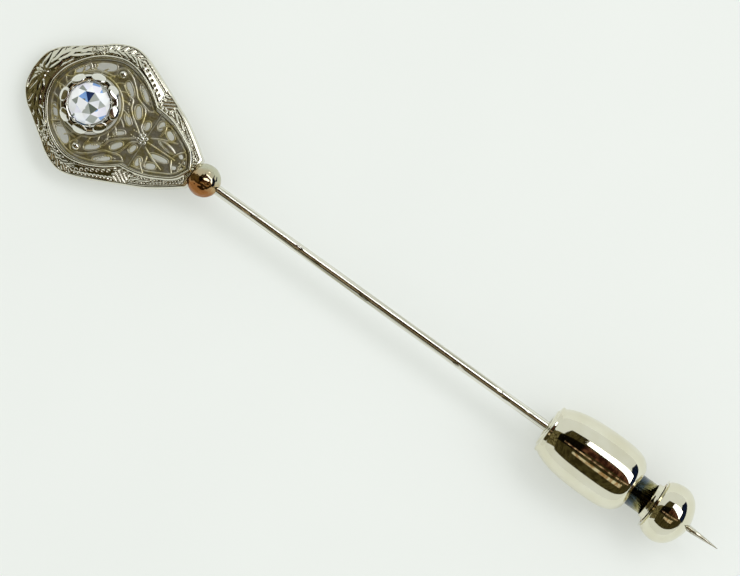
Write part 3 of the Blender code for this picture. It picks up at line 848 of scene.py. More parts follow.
def finish_head(piece, finish, node, angle=60.0):
    """Finish a piece of the head, which was modelled in the head's own frame."""
    return finish_piece(piece, finish, "pin", (node,), angle, HEAD)


# ---------------------------------------------------------------------------------------------
# Border. Lengths are in millimetres, angles in radians.
# ---------------------------------------------------------------------------------------------

# Points on each side of a section
FRONT_POINTS = 46
INNER_WALL_POINTS = 6
BACK_POINTS = 10
OUTER_WALL_POINTS = 8

# The rail round the opening, the face that slopes down from it, and the smooth lip at the edge
RAIL_WIDTH = 0.30
RAIL_ARCH = 0.12
FACE_TOP = 0.40
FACE_SLOPE = 0.36
FACE_LOW = -0.55
LIP_DROP = 0.02
EDGE_ROUND = 0.10
GROOVE_PLACE, GROOVE_WIDTH, GROOVE_DEPTH = 0.06, 0.045, 0.10
BACK_INSET = 0.10
BACK_ROUND = 0.06

# Leaves along the middle line: (how far they go, spacing, length, breadth, spread)
LEAVES = ((4.3, 1.05, 2.1, 0.44, 0.26), (8.4, 0.56, 1.0, 0.24, 0.70))
LEAF_LEAD = 0.30
CENTRE_LEAF = 0.6
MIDDLE_SHARE = 0.45

FAN_LEAVES, FAN_PLACE, FAN_STEP, FAN_LEAF = 3, (14.55, 0.0), 0.42, (0.95, 0.17)
FLOWER_PLACE, FLOWER_FIELD, FLOWER_LEAVES, FLOWER_LEAF = (12.02, 3.78), 0.62, 6, (0.60, 0.15)
FLOWER_EYE, FLOWER_EYE_HEIGHT = 0.16, 1.15

# Plain flank: a row of drilled pits, and a milled line beside the edge
PITS, PIT_START, PIT_STEP, PIT_RADIUS = 7, (8.55, 4.72), (0.36, 0.215), 0.085
MILLED_LINE, MILLED_WIDTH, MILLED_PITCH = 0.36, 0.07, 0.30

CHEVRON_PITCH, CHEVRON_MIDDLE = 0.42, 0.55
STROKE_PITCH = 0.50
TAIL_RAIL_LINE, TAIL_EDGE_LINE, TAIL_LINE_WIDTH, TAIL_DOT_PITCH = 0.42, 0.34, 0.05, 0.26

# Places along the opening stop just short of its last knot
LAST_PLACE = 11.9999


def smoothstep(low, high, value):
    t = np.clip((value - low) / (high - low), 0.0, 1.0)
    return t * t * (3 - 2 * t)


def ridge(distance, width):
    """A rounded ridge, 1 on its line and falling off over its width."""
    return np.exp(-((distance / width) ** 2))


def wave(value, pitch):
    """Even waves between 0 and 1."""
    return 0.5 + 0.5 * np.cos(value * math.tau / pitch)


def partner_of(at):
    """The place along the opening that goes with a place along the edge."""
    return np.interp(at, range(len(PARTNERS)), PARTNERS)


def run_along(points):
    """How far along its line each point lies."""
    run = [0.0]
    for before, after in zip(points, points[1:]):
        run.append(run[-1] + (after - before).length)
    return run


def half_stations(count):
    """Even sections of half the border, from the far end to the ball: outer and inner points."""
    dense = 40
    places = [i / dense for i in range((len(EDGE_KNOTS) - 1) * dense + 1)]
    reach = run_along([spaced(EDGE_KNOTS, at) for at in places])
    wanted = np.linspace(0.0, reach[-1], count + 1)
    at = np.interp(wanted, reach, places)
    outer = np.array([spaced(EDGE_KNOTS, a)[:] for a in at])
    inner = np.array([spaced(OPENING_KNOTS, min(b, LAST_PLACE))[:] for b in partner_of(at)])
    return outer, inner, wanted


def leaf_height(p, q, at, angle, length, width):
    """Height, 0 to 1, of a leaf that starts at a point and runs at an angle, with a cut vein."""
    c, s = math.cos(angle), math.sin(angle)
    along = (p - at[0]) * c + (q - at[1]) * s
    across = -(p - at[0]) * s + (q - at[1]) * c
    t = np.clip(along / length, 0.0, 1.0)
    half = width * np.sin(math.pi * t**0.75) + 1e-6
    inside = np.clip(1.0 - (across / half) ** 2, 0.0, 1.0)
    inside[(along < 0) | (along > length)] = 0.0
    return np.sqrt(inside) * (1.0 - 0.60 * ridge(across, 0.18 * width))


def engraving(p, q, reach, inwards, outwards):
    """Relief of one half of the border's face, 0 on the ground and 1 on the leaves.

    p and q are places in the head (q positive), reach is the way along the edge from the far end,
    and inwards and outwards are the distances to the rail and to the edge.
    """
    relief = np.zeros_like(p)
    centre = [
        spaced(EDGE_KNOTS, k / 4).lerp(spaced(OPENING_KNOTS, partner_of(k / 4)), MIDDLE_SHARE)
        for k in range(46)
    ]
    run = run_along(centre)

    def on_centre(distance):
        return np.array([np.interp(distance, run, [c[axis] for c in centre]) for axis in (0, 1)])

    # long leaves that curve round the far end to the cusp, then shorter ones over the shoulder
    distance = 0.0
    for until, spacing, size, breadth, spread in LEAVES:
        while distance < until:
            step = on_centre(distance + 0.1) - on_centre(distance - 0.1)
            turn = math.atan2(step[1], step[0])
            for side in (-1, 1):
                start = on_centre(distance + LEAF_LEAD * (side > 0))
                leaf = leaf_height(p, q, start, turn + side * spread, size, breadth)
                relief = np.maximum(relief, leaf)
            leaf = leaf_height(
                p, q, on_centre(distance), turn, size * CENTRE_LEAF, breadth * CENTRE_LEAF,
            )
            relief = np.maximum(relief, 0.8 * leaf)
            distance += spacing

    for k in range(-FAN_LEAVES, FAN_LEAVES + 1):
        relief = np.maximum(relief, leaf_height(p, q, FAN_PLACE, FAN_STEP * k, *FAN_LEAF))

    # flower on the cusp
    away = np.hypot(p - FLOWER_PLACE[0], q - FLOWER_PLACE[1])
    relief = np.where(away < FLOWER_FIELD, 0.0, relief)
    for k in range(FLOWER_LEAVES):
        angle = math.tau * k / FLOWER_LEAVES + 0.3
        relief = np.maximum(relief, leaf_height(p, q, FLOWER_PLACE, angle, *FLOWER_LEAF))
    eye = np.sqrt(np.clip(1 - (away / FLOWER_EYE) ** 2, 0, 1))
    relief = np.maximum(relief, FLOWER_EYE_HEIGHT * eye)

    # plain flank
    flank = smoothstep(8.9, 8.6, p) * smoothstep(5.95, 6.15, p)
    relief = relief * (1 - flank) + flank * 0.95
    for k in range(PITS):
        spot = PIT_START[0] - PIT_STEP[0] * k, PIT_START[1] - PIT_STEP[1] * k
        off = np.hypot(p - spot[0], q - spot[1])
        relief = relief - 1.3 * np.exp(-((off / PIT_RADIUS) ** 4))
    line = ridge(outwards - MILLED_LINE, MILLED_WIDTH) * wave(reach, MILLED_PITCH)
    relief = np.where(flank > 0.5, relief - 0.9 * line, relief)

    # chevron panel at the waist
    panel = smoothstep(6.05, 5.90, p) * smoothstep(4.75, 4.90, p)
    chevron = wave(p + np.abs(inwards - CHEVRON_MIDDLE) * 1.4, CHEVRON_PITCH)
    relief = np.where(panel > 0.02, relief * (1 - panel) + panel * chevron, relief)

    # long narrow leaf towards the ball, with beads along its cuts
    tail = smoothstep(4.85, 4.70, p)
    cuts = ridge(inwards - TAIL_RAIL_LINE, TAIL_LINE_WIDTH)
    cuts = cuts + ridge(outwards - TAIL_EDGE_LINE, TAIL_LINE_WIDTH)
    strokes = 0.35 + 0.65 * wave(p * 1.3 - q * 1.5, STROKE_PITCH)
    field = np.where((inwards > 0.45) & (outwards > 0.38), strokes, 1.0)
    leaf = np.clip(field - cuts * (0.35 + 0.65 * wave(reach, TAIL_DOT_PITCH)), -0.3, 1.0)
    relief = np.where(tail > 0.02, relief * (1 - tail) + tail * leaf, relief)
    return np.clip(relief, -0.5, 1.2)


def inner_steps(count):
    """Even steps between 0 and 1, without either end."""
    return np.linspace(0.0, 1.0, count + 2)[1:-1][None, :]


class STICKPIN_OT_border(bpy.types.Operator):
    """Model the engraved border of the head"""

    bl_idname = "stick_pin.border"
    bl_label = "Engraved border"

    def execute(self, context):
        s = settings()
        half = s.border_steps // 2
        outer, inner, reach = half_stations(half)
        section = FRONT_POINTS + INNER_WALL_POINTS + BACK_POINTS + OUTER_WALL_POINTS
        deselect()
        bpy.ops.mesh.primitive_grid_add(
            x_subdivisions=section, y_subdivisions=2 * half, size=10 * MM,
        )
        ring = bpy.context.object
        ring.name = "engraved_border"

        # the front runs from the edge to the opening, closer together at both rims
        t = np.linspace(0.0, 1.0, FRONT_POINTS)
        across = 0.5 - 0.5 * np.cos(math.pi * t)
        across = 0.5 * across + 0.5 * t
        span = outer - inner
        width = np.linalg.norm(span, axis=1)[:, None]
        place = outer[:, None, :] - across[None, :, None] * span[:, None, :]
        outwards = across[None, :] * width
        inwards = width - outwards
        relief = engraving(
            place[..., 0], place[..., 1], reach[:, None] + 0 * outwards, inwards, outwards,
        )
        rail = smoothstep(RAIL_WIDTH + 0.05, RAIL_WIDTH - 0.04, inwards)
        lip = smoothstep(0.20, 0.13, outwards)
        slope = np.maximum(FACE_TOP - FACE_SLOPE * np.maximum(inwards - RAIL_WIDTH, 0.0), FACE_LOW)
        depth = s.engraving_depth / MM
        arch = RAIL_TOP - RAIL_ARCH * ((inwards - RAIL_WIDTH / 2) / (RAIL_WIDTH / 2)) ** 2
        field = slope - depth + depth * relief
        height = field * (1 - rail) + np.where(rail > 0, arch, 0.0) * rail
        height = height * (1 - lip) + (slope - LIP_DROP) * lip
        groove = ridge(inwards - RAIL_WIDTH - GROOVE_PLACE, GROOVE_WIDTH)
        height -= GROOVE_DEPTH * groove
        for gap in (inwards, outwards):
            near = np.clip(1 - gap / EDGE_ROUND, 0.0, 1.0)
            height -= EDGE_ROUND * (1 - np.sqrt(1 - near**2))
        # patina and painted shade: the engraved ground between the leaves darkens, and the groove by
        # the rail darkens most
        patina_and_shade = smoothstep(0.42, 0.05, relief) * (1 - rail) * (1 - lip) + groove * 0.9

        low = height[:, :1] * 0 + BORDER_BACK
        points, shades = [], []

        def add(xy, z, shade):
            points.append(np.dstack([xy[..., 0], xy[..., 1], z + 0 * xy[..., 0]]))
            shades.append(shade + 0 * xy[..., 0])

        add(place, height, patina_and_shade)
        # painted shade on the walls: the inner wall darkens as it goes down, the back is 0.15, and
        # the outer wall darkens towards the back
        down = inner_steps(INNER_WALL_POINTS)
        wall = np.repeat(inner[:, None, :], INNER_WALL_POINTS, axis=1)
        add(wall, height[:, -1:] * (1 - down) + low * down, 0.25 + 0.6 * down)
        back = np.linspace(0.0, 1.0, BACK_POINTS)[None, :, None]
        inset = BACK_INSET / width[:, :, None]
        add(inner[:, None, :] + (inset + (1 - 2 * inset) * back) * span[:, None, :], low, 0.15)
        up = inner_steps(OUTER_WALL_POINTS)
        wall = np.repeat(outer[:, None, :], OUTER_WALL_POINTS, axis=1)
        add(wall, low * (1 - up) + height[:, :1] * up + BACK_ROUND * (1 - up), 0.30 * (1 - up))

        # the grid runs once round: up one side of the head to the ball, and back down the other;
        # its last row and column fall on its first ones and are welded to them
        grid, tones = np.concatenate(points, axis=1), np.concatenate(shades, axis=1)
        other = grid[:-1][::-1].copy()
        other[..., 1] *= -1
        whole = np.concatenate([grid, other], axis=0)
        whole = np.concatenate([whole, whole[:, :1]], axis=1) * (-MM, MM, MM)
        tones = np.concatenate([tones, tones[:-1][::-1]], axis=0)
        tones = np.concatenate([tones, tones[:, :1]], axis=1)
        ring.data.vertices.foreach_set("co", whole.reshape(-1))
        store(ring, "patina_and_shade", "POINT", np.clip(tones, 0, 1))
        ring.data.update()
        weld(ring)
        finish_head(ring, engraved_gold(), "border_frame")
        return {"FINISHED"}


# ---------------------------------------------------------------------------------------------
# Pierced sheets, wires and beads
# ---------------------------------------------------------------------------------------------

# Wires and beads laid on the sheets, in millimetres
RIM_WIRE, RIM_GROWTH = 0.055, 0.07
EDGE_WIRE_INSET = 0.20
SEAT_WIRE, SEAT_WIRE_RADIUS = 2.44, 0.085
FLUTES, FLUTE_WIRE, FLUTE_TWIST = 22, 0.075, 0.30
FLUTE_REACH = (2.50, 2.68, 2.86, 3.04)
MILLED_SPACING, MILLED_BEAD = 0.15, (0.075, 0.085)
NEAR_END, FAR_END = -1.0, 99.0


def squared(value):
    """Bend a sine or cosine towards a rounded square."""
    return math.copysign(abs(value) ** GAP_SQUARENESS, value)


def gap_outline(distance, across, half_length, half_breadth, turn, side):
    """An oval gap, run the other way round than the sheet's edge."""
    angle = math.radians(turn)
    outline = []
    for i in range(GAP_POINTS):
        t = math.tau * i / GAP_POINTS
        u = half_length * squared(math.cos(t))
        v = half_breadth * squared(math.sin(t))
        outline.append((
            distance + u * math.cos(angle) - v * math.sin(angle),
            side * (across + u * math.sin(angle) + v * math.cos(angle)),
        ))
    return outline if side < 0 else outline[::-1]


def gaps_on_both_sides(gaps):
    return [gap_outline(*gap, side) for gap in gaps for side in (1, -1)]


def gap_rims(gaps, level):
    """A thin bright wire round every gap."""
    rims = []
    for distance, across, half_length, half_breadth, turn in gaps:
        grown = (distance, across, half_length + RIM_GROWTH, half_breadth + RIM_GROWTH, turn)
        for side in (1, -1):
            outline = gap_outline(*grown, side)[::2]
            rims.append(wire([(p, q, level) for p, q in outline], RIM_WIRE * MM, closed=True))
    return rims


def opening_line(low, high, inset=SOLDER_GAP):
    """The opening's edge between two distances from the ball, moved inwards."""
    half = smooth_line(OPENING_KNOTS, 10)
    kept = []
    for before, after in zip(half, half[1:]):
        if before.x > high >= after.x:
            kept.append(before.lerp(after, (before.x - high) / (before.x - after.x)))
        if high >= after.x > low:
            kept.append(after)
        if before.x > low >= after.x:
            kept.append(before.lerp(after, (before.x - low) / (before.x - after.x)))
    if high >= half[0].x:
        kept.insert(0, half[0])
    kept = [v for i, v in enumerate(kept) if i == 0 or (v - kept[i - 1]).length > 0.02]
    whole = kept + [Vector((v.x, -v.y)) for v in reversed(kept) if v.y > 1e-6]
    middle = Vector((sum(v.x for v in whole) / len(whole), 0.0))
    moved = []
    for i, point in enumerate(whole):
        run = whole[(i + 1) % len(whole)] - whole[i - 1]
        inwards = Vector((-run.y, run.x)).normalized()
        if inwards.dot(middle - point) < 0:
            inwards.negate()
        moved.append(tuple(point + inwards * inset))
    return moved


def sheet_shade(places):
    """Patina and painted shade of a pierced sheet: clean on the wires, darker on the ground, and
    painted shade deepening down the gaps.
    """
    level = places[:, 2]
    # 0.36 of patina and shade on the ground under the wires, and painted shade adding up to 0.5 more
    # down the walls of the gaps
    front = 0.36 * smoothstep(0.115, 0.055, level) + 0.5 * smoothstep(0.04, -0.20, level)
    return np.where(level < SHEET_BACK + 0.02, 0.15, front)


# Routes of the wires: (distance from the ball, half-width)
SCROLLS = (
    # round the scroll bead and down to the waist
    ((9.62, 2.86), (9.98, 3.02), (10.02, 3.42), (9.66, 3.72), (9.14, 3.60), (8.66, 3.34),
     (8.08, 2.84), (7.62, 2.38), (6.96, 2.16), (6.34, 2.02), (5.98, 2.20)),
    # from the knot to the waist
    ((5.74, 0.34), (6.20, 0.72), (6.36, 1.24), (6.58, 1.84), (6.96, 2.16)),
    # from the knot past the setting to the scroll
    ((5.98, 0.18), (6.60, 0.62), (7.20, 1.04), (7.66, 1.52), (7.86, 2.04), (8.30, 2.12),
     (9.10, 2.62)),
    # bars beside the setting
    ((9.98, 2.72), (10.62, 2.66), (11.34, 2.44), (11.92, 2.00), (12.36, 1.44), (12.76, 0.98),
     (13.20, 0.80)),
    ((11.72, 2.28), (12.02, 2.52), (12.26, 2.66)),
    ((12.60, 0.0), (12.98, 0.0), (13.50, 0.0)),
)


# Rows of milled beads along the sheet
MILLED_ROWS = (
    ((9.00, 2.66), (8.30, 2.30), (8.02, 1.90), (7.86, 1.34), (7.50, 1.00)),
    ((7.82, 3.36), (7.22, 2.62), (6.50, 2.40)),
    ((6.70, 0.20), (6.20, 0.22), (5.98, 0.24)),
    ((12.90, 1.50), (12.30, 2.28), (11.60, 2.86)),
)


def milled(rows, side, level):
    """Small beads side by side along each row."""
    beads = []
    for row in rows:
        line = smooth_route([(p, side * q, level) for p, q in row], 12)
        travelled = 0.0
        for before, after in zip(line, line[1:]):
            travelled += (after - before).length
            if travelled >= MILLED_SPACING:
                travelled = 0.0
                beads.append(bead(tuple(after), *MILLED_BEAD, 8, 6))
    return beads


def around_setting(radius, count):
    """Even points on a circle round the setting."""
    turns = [math.tau * i / count for i in range(count)]
    return [(SETTING + radius * math.cos(t), radius * math.sin(t)) for t in turns]


class STICKPIN_OT_gallery(bpy.types.Operator):
    """Model the scrolled sheet round the setting"""

    bl_idname = "stick_pin.gallery"
    bl_label = "Scrolled gallery"

    def execute(self, context):
        radius = settings().wire_radius
        seat = around_setting(SEAT_RADIUS + SOLDER_GAP, 72)
        outlines = [opening_line(SHEET_SPLIT, FAR_END), seat] + gaps_on_both_sides(GALLERY_GAPS)
        pieces = [sheet(outlines, SHEET_BACK, SHEET_FRONT)]
        level = SHEET_FRONT + 0.01
        for route in SCROLLS:
            sides = (1, -1) if any(q for _, q in route) else (1,)
            for side in sides:
                pieces.append(wire([(p, side * q, level) for p, q in route], radius, 0.35))
        ring = [(p, q, level - 0.02) for p, q in around_setting(SEAT_WIRE, 24)]
        pieces.append(wire(ring, SEAT_WIRE_RADIUS * MM, closed=True))
        pieces += gap_rims(GALLERY_GAPS, SHEET_FRONT)
        edge = opening_line(SHEET_SPLIT, FAR_END, EDGE_WIRE_INSET)
        half = len(edge) // 2
        around = edge[:half + 1][::-1] + edge[half + 1:][::-1]
        pieces.append(wire([(p, q, level) for p, q in around[2:-2:5]], radius * 0.8, 0.2))
        for k in range(FLUTES):
            flute = []
            for r in FLUTE_REACH:
                angle = math.tau * (k + 0.5) / FLUTES + FLUTE_TWIST * (r - 2.5)
                flute.append((SETTING + r * math.cos(angle), r * math.sin(angle), level))
            pieces.append(wire(flute, FLUTE_WIRE * MM, 0.5))
        pieces += [row for side in (1, -1) for row in milled(MILLED_ROWS, side, level)]
        piece = joined(pieces, "scrolled_gallery")
        mark_patina_and_shade(piece, sheet_shade)
        finish_head(piece, filigree_gold(), "scroll_gallery", 50.0)
        return {"FINISHED"}


# Wires of the fan, beads of its middle ribs (first, spacing, how many, height, radius), and the
# leaf laid in its gap (distance, half-width, radius, height, stretch, turn in degrees)
FAN_RIBS = (
    ((5.13, 0.38), (4.20, 0.82), (3.12, 1.20)),
    ((5.00, 1.35), (4.60, 1.80), (4.16, 2.14)),
    ((4.60, 0.88), (4.50, 1.40), (4.62, 1.92)),
    ((2.90, 0.10), (2.62, 0.62), (2.30, 1.00)),
    ((2.05, 0.05), (2.12, 0.36), (1.96, 0.66)),
)
FAN_BEADS = ((5.10, 0.15, 17, 0.085), (2.25, 0.15, 4, 0.075))
FAN_LEAF_PLACE, FAN_LEAF_SIZE = (3.62, 0.56), (0.24, 0.10)
FAN_LEAF_STRETCH, FAN_LEAF_TURN = 3.2, -9.0


class STICKPIN_OT_fan(bpy.types.Operator):
    """Model the ribbed fan between the knot and the ball"""

    bl_idname = "stick_pin.fan"
    bl_label = "Ribbed fan"

    def execute(self, context):
        radius = settings().wire_radius
        outlines = [opening_line(NEAR_END, SHEET_SPLIT)] + gaps_on_both_sides(FAN_GAPS)
        pieces = [sheet(outlines, SHEET_BACK, SHEET_FRONT)]
        level = SHEET_FRONT + 0.02
        for route in FAN_RIBS:
            for side in (1, -1):
                pieces.append(wire([(p, side * q, level) for p, q in route], radius * 0.95, 0.4))
        pieces += gap_rims(FAN_GAPS[:3], SHEET_FRONT)
        edge = opening_line(NEAR_END, SHEET_SPLIT, EDGE_WIRE_INSET)
        pieces.append(wire([(p, q, level) for p, q in edge[2:-2:5]], radius * 0.8, 0.2))
        for first, spacing, count, size in FAN_BEADS:
            for k in range(count):
                pieces.append(bead((first - spacing * k, 0.0, level + 0.02), size, size, 8, 6))
        leaf = bead((0.0, 0.0, level - 0.02), *FAN_LEAF_SIZE, 20, 10)
        distance, across = FAN_LEAF_PLACE
        leaf.data.transform(
            Matrix.Translation((-distance * MM, across * MM, 0.0))
            @ Matrix.Rotation(math.radians(FAN_LEAF_TURN), 4, "Z")
            @ Matrix.Diagonal((FAN_LEAF_STRETCH, 1.0, 1.0, 1.0))
        )
        pieces.append(leaf)
        piece = joined(pieces, "ribbed_fan")
        mark_patina_and_shade(piece, sheet_shade)
        finish_head(piece, filigree_gold(), "palmette", 50.0)
        return {"FINISHED"}


KNOT, KNOT_BEADS, KNOT_RADIUS, KNOT_BEAD = 5.60, 6, 0.34, 0.16
SCROLL_EYE, SCROLL_EYE_SIZE = (9.55, 3.25), (0.34, 0.32)


class STICKPIN_OT_beads(bpy.types.Operator):
    """Model the knot and the two scroll beads"""

    bl_idname = "stick_pin.beads"
    bl_label = "Knot and beads"

    def execute(self, context):
        level = SHEET_FRONT + SOLDER_GAP
        pieces = [bead((KNOT, 0.0, level + 0.10), 0.24, 0.26, 20, 12)]
        for k in range(KNOT_BEADS):
            angle = math.tau * k / KNOT_BEADS + 0.5
            place = KNOT + KNOT_RADIUS * math.cos(angle), KNOT_RADIUS * math.sin(angle)
            pieces.append(bead((*place, level + 0.02), KNOT_BEAD, KNOT_BEAD))
        knot = joined(pieces, "rosette_knot")
        # painted shade: the knot's beads darken towards their undersides
        mark_patina_and_shade(knot, lambda v: 1.0 - (v[:, 2] - level + 0.05) / 0.18)
        finish_head(knot, bright_cut_gold(), "rosette_bead")
        for side, name in ((1, "left"), (-1, "right")):
            distance, across = SCROLL_EYE
            ball = bead((distance, side * across, level + 0.04), *SCROLL_EYE_SIZE, 28, 16)
            ball.name = f"scroll_eye_{name}"
            # painted shade: the scroll bead darkens towards its underside
            mark_patina_and_shade(ball, lambda v: 0.7 - (v[:, 2] - level) / 0.2)
            finish_head(ball, bright_cut_gold(), f"scroll_bead_{name}")
        return {"FINISHED"}


# ---------------------------------------------------------------------------------------------
# Setting and stone
# ---------------------------------------------------------------------------------------------

# Petalled plate: a flattened ring, tilted petals on it, and the beads that grip the stone
PLATE_RADIUS, PLATE_HALF_WIDTH, PLATE_HEIGHT, PLATE_FLATNESS = 1.93, 0.30, 0.90, 0.4
PETAL_SIZE, PETAL_STRETCH, PETAL_REACH, PETAL_HEIGHT = (0.36, 0.12), (1.22, 1.62), 2.06, 1.06
PETAL_TILT = 34.0
GRIP_OFFSET, GRIP_HEIGHT, GRIP_BEAD = 0.08, 1.16, 0.12


class STICKPIN_OT_setting(bpy.types.Operator):
    """Model the petalled plate round the stone, and the cup under it"""

    bl_idname = "stick_pin.setting"
    bl_label = "Illusion setting"

    def execute(self, context):
        deselect()
        bpy.ops.mesh.primitive_torus_add(
            major_segments=96, minor_segments=16, major_radius=PLATE_RADIUS * MM,
            minor_radius=PLATE_HALF_WIDTH * MM, location=(-SETTING * MM, 0.0, PLATE_HEIGHT * MM),
        )
        ring = bpy.context.object
        ring.scale = (1.0, 1.0, PLATE_FLATNESS)
        bpy.ops.object.transform_apply(location=True, rotation=True, scale=True)
        pieces = [ring]
        for k in range(PETALS):
            petal = bead((0.0, 0.0, 0.0), *PETAL_SIZE, 24, 14)
            petal.data.transform(
                Matrix.Translation((-SETTING * MM, 0.0, 0.0))
                @ Matrix.Rotation(math.tau * (k + 0.28) / PETALS, 4, "Z")
                @ Matrix.Translation((PETAL_REACH * MM, 0.0, PETAL_HEIGHT * MM))
                @ Matrix.Rotation(math.radians(PETAL_TILT), 4, "Y")
                @ Matrix.Diagonal((*PETAL_STRETCH, 1.0, 1.0))
            )
            pieces.append(petal)
            angle = math.tau * (k + 0.78) / PETALS
            reach = GIRDLE_RADIUS + GRIP_OFFSET
            place = SETTING - reach * math.cos(angle), reach * math.sin(angle), GRIP_HEIGHT
            pieces.append(bead(place, GRIP_BEAD, GRIP_BEAD, 10, 8))
        plate = joined(pieces, "petal_plate")
        # painted shade: the plate darkens below the petals' upper parts
        mark_patina_and_shade(plate, lambda v: 1.6 - (v[:, 2] - PLATE_HEIGHT) / 0.12)
        finish_head(plate, bright_cut_gold(), "illusion_plate")
        smooth_copy("collet", "collet_cup", turned_gold(), "pin")
        return {"FINISHED"}


# Depth of the star facets, and reach of the lower facets' points from the culet
STAR_DROP, LOW_REACH = 0.22, 0.45


def brilliant_corners():
    """Corners of a round brilliant: table, star points, girdle, lower points and culet."""
    crown_slope = (TABLE_HEIGHT - GIRDLE_HIGH) / (GIRDLE_RADIUS - TABLE_RADIUS)
    pavilion_slope = (GIRDLE_LOW - CULET) / GIRDLE_RADIUS
    eighth = math.tau / 8
    star_reach = (TABLE_RADIUS + STAR_DROP / crown_slope) / math.cos(eighth / 2)
    low_height = GIRDLE_LOW - (GIRDLE_RADIUS - LOW_REACH * math.cos(eighth / 2)) * pavilion_slope
    corners = [(0.0, 0.0, CULET), (0.0, 0.0, TABLE_HEIGHT + TABLE_CROWN)]
    for k in range(8):
        main, half = eighth * k, eighth * (k + 0.5)
        corners.append((TABLE_RADIUS, main, TABLE_HEIGHT))
        corners.append((star_reach, half, TABLE_HEIGHT - STAR_DROP))
        corners.append((LOW_REACH, half, low_height))
    for k in range(16):
        for height in (GIRDLE_LOW, GIRDLE_HIGH):
            corners.append((GIRDLE_RADIUS, eighth * k / 2, height))
    return [(r * math.cos(a), r * math.sin(a), z) for r, a, z in corners]


# Painted reflections on the table's eight wedges, as tones counted round from the ball's side
TABLE_PAINTED_REFLECTIONS = (0.05, 0.28, 0.93, 0.71, 0.05, 0.42, 0.28, 0.82)


def painted_facet_reflection(normal, centre):
    """A facet's painted reflection, as a place on the stone's tone scale, from the way it faces."""
    around = math.atan2(normal.y, normal.x)
    if normal.z > 0.98:
        wedge = int(math.degrees(math.atan2(centre.y, centre.x + SETTING)) // 45)
        return TABLE_PAINTED_REFLECTIONS[wedge]
    if normal.z < -0.2:
        return 0.4 + 0.4 * math.sin(3.0 * around)
    return 0.38 + 0.38 * math.sin(5.0 * around + 3.0 * normal.z) * math.cos(2.0 * around + 0.4)


class STICKPIN_OT_stone(bpy.types.Operator):
    """Cut the round brilliant"""

    bl_idname = "stick_pin.stone"
    bl_label = "Brilliant"

    def execute(self, context):
        corners = brilliant_corners()
        deselect()
        bpy.ops.mesh.primitive_circle_add(vertices=len(corners), radius=MM)
        stone = bpy.context.object
        stone.name = "brilliant"
        for vertex, (x, y, z) in zip(stone.data.vertices, corners):
            vertex.co = ((x - SETTING) * MM, y * MM, z * MM)
        bpy.ops.object.mode_set(mode="EDIT")
        bpy.ops.mesh.select_all(action="SELECT")
        bpy.ops.mesh.convex_hull(
            use_existing_faces=False, face_threshold=0.01, shape_threshold=0.01,
        )
        bpy.ops.mesh.select_all(action="SELECT")
        bpy.ops.mesh.normals_make_consistent(inside=False)
        bpy.ops.object.mode_set(mode="OBJECT")
        bpy.ops.object.shade_flat()
        # painted reflections: each facet's tone follows the way it faces
        tones = [painted_facet_reflection(face.normal, face.center / MM) for face in stone.data.polygons]
        store(stone, "facet", "FACE", tones)
        finish_head(stone, clear_stone(), "stone", None)
        return {"FINISHED"}


# ---------------------------------------------------------------------------------------------
# Ball and stem
# ---------------------------------------------------------------------------------------------

# Radius of the hole the stem is soldered into, and the steps round the ball's profile
BALL_MOUTH, BALL_STEPS = 0.41, 40

# The stem's point: (distance from the ball, radius)
STEM_TAPER = ((41.0, 0.39), (43.2, 0.345), (45.0, 0.27), (46.6, 0.145), (47.75, 0.03))
STEM_STEPS, SHANK_STEPS = 48, 40


class STICKPIN_OT_ball(bpy.types.Operator):
    """Model the polished ball between the head and the stem"""

    bl_idname = "stick_pin.ball"
    bl_label = "Junction ball"

    def execute(self, context):
        low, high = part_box("junction_boss")
        radius = (high.y - low.y) / 2
        centre = high.x - radius
        mouth = BALL_MOUTH * MM
        flat = low.x - centre
        start = math.acos(flat / radius)
        end = math.asin(mouth / radius)
        angles = [start + (end - start) * i / BALL_STEPS for i in range(BALL_STEPS + 1)]
        arc = [(centre + radius * math.cos(a), radius * math.sin(a)) for a in angles]
        socket = centre + 0.5 * radius
        profile = [(arc[0][0], 0.0)] + arc + [(socket, mouth), (socket, 0.0)]
        ball = lathe("junction_ball", profile, settings().lathe_steps)
        finish_piece(ball, polished_ball(), "pin", ("junction_boss",), 40.0)
        return {"FINISHED"}


class STICKPIN_OT_stem(bpy.types.Operator):
    """Model the stem and its point"""

    bl_idname = "stick_pin.stem"
    bl_label = "Stem"

    def execute(self, context):
        low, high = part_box("pin_stem")
        taper = [(BALL_PLACE.x + d * MM, r * MM) for d, r in smooth_line(STEM_TAPER, 6)]
        radius = taper[0][1]
        reach = taper[0][0] - low.x
        shank = [(low.x + reach * i / SHANK_STEPS, radius) for i in range(SHANK_STEPS)]
        profile = [(low.x, 0.0)] + shank + taper + [(high.x, 0.0)]
        stem = lathe("drawn_stem", profile, STEM_STEPS)
        finish_piece(stem, drawn_wire(), "pin", ("pin_stem",), 40.0)
        return {"FINISHED"}


# ---------------------------------------------------------------------------------------------
# Clutch. Profiles are (distance from the barrel's entry face, radius) in millimetres.
# ---------------------------------------------------------------------------------------------

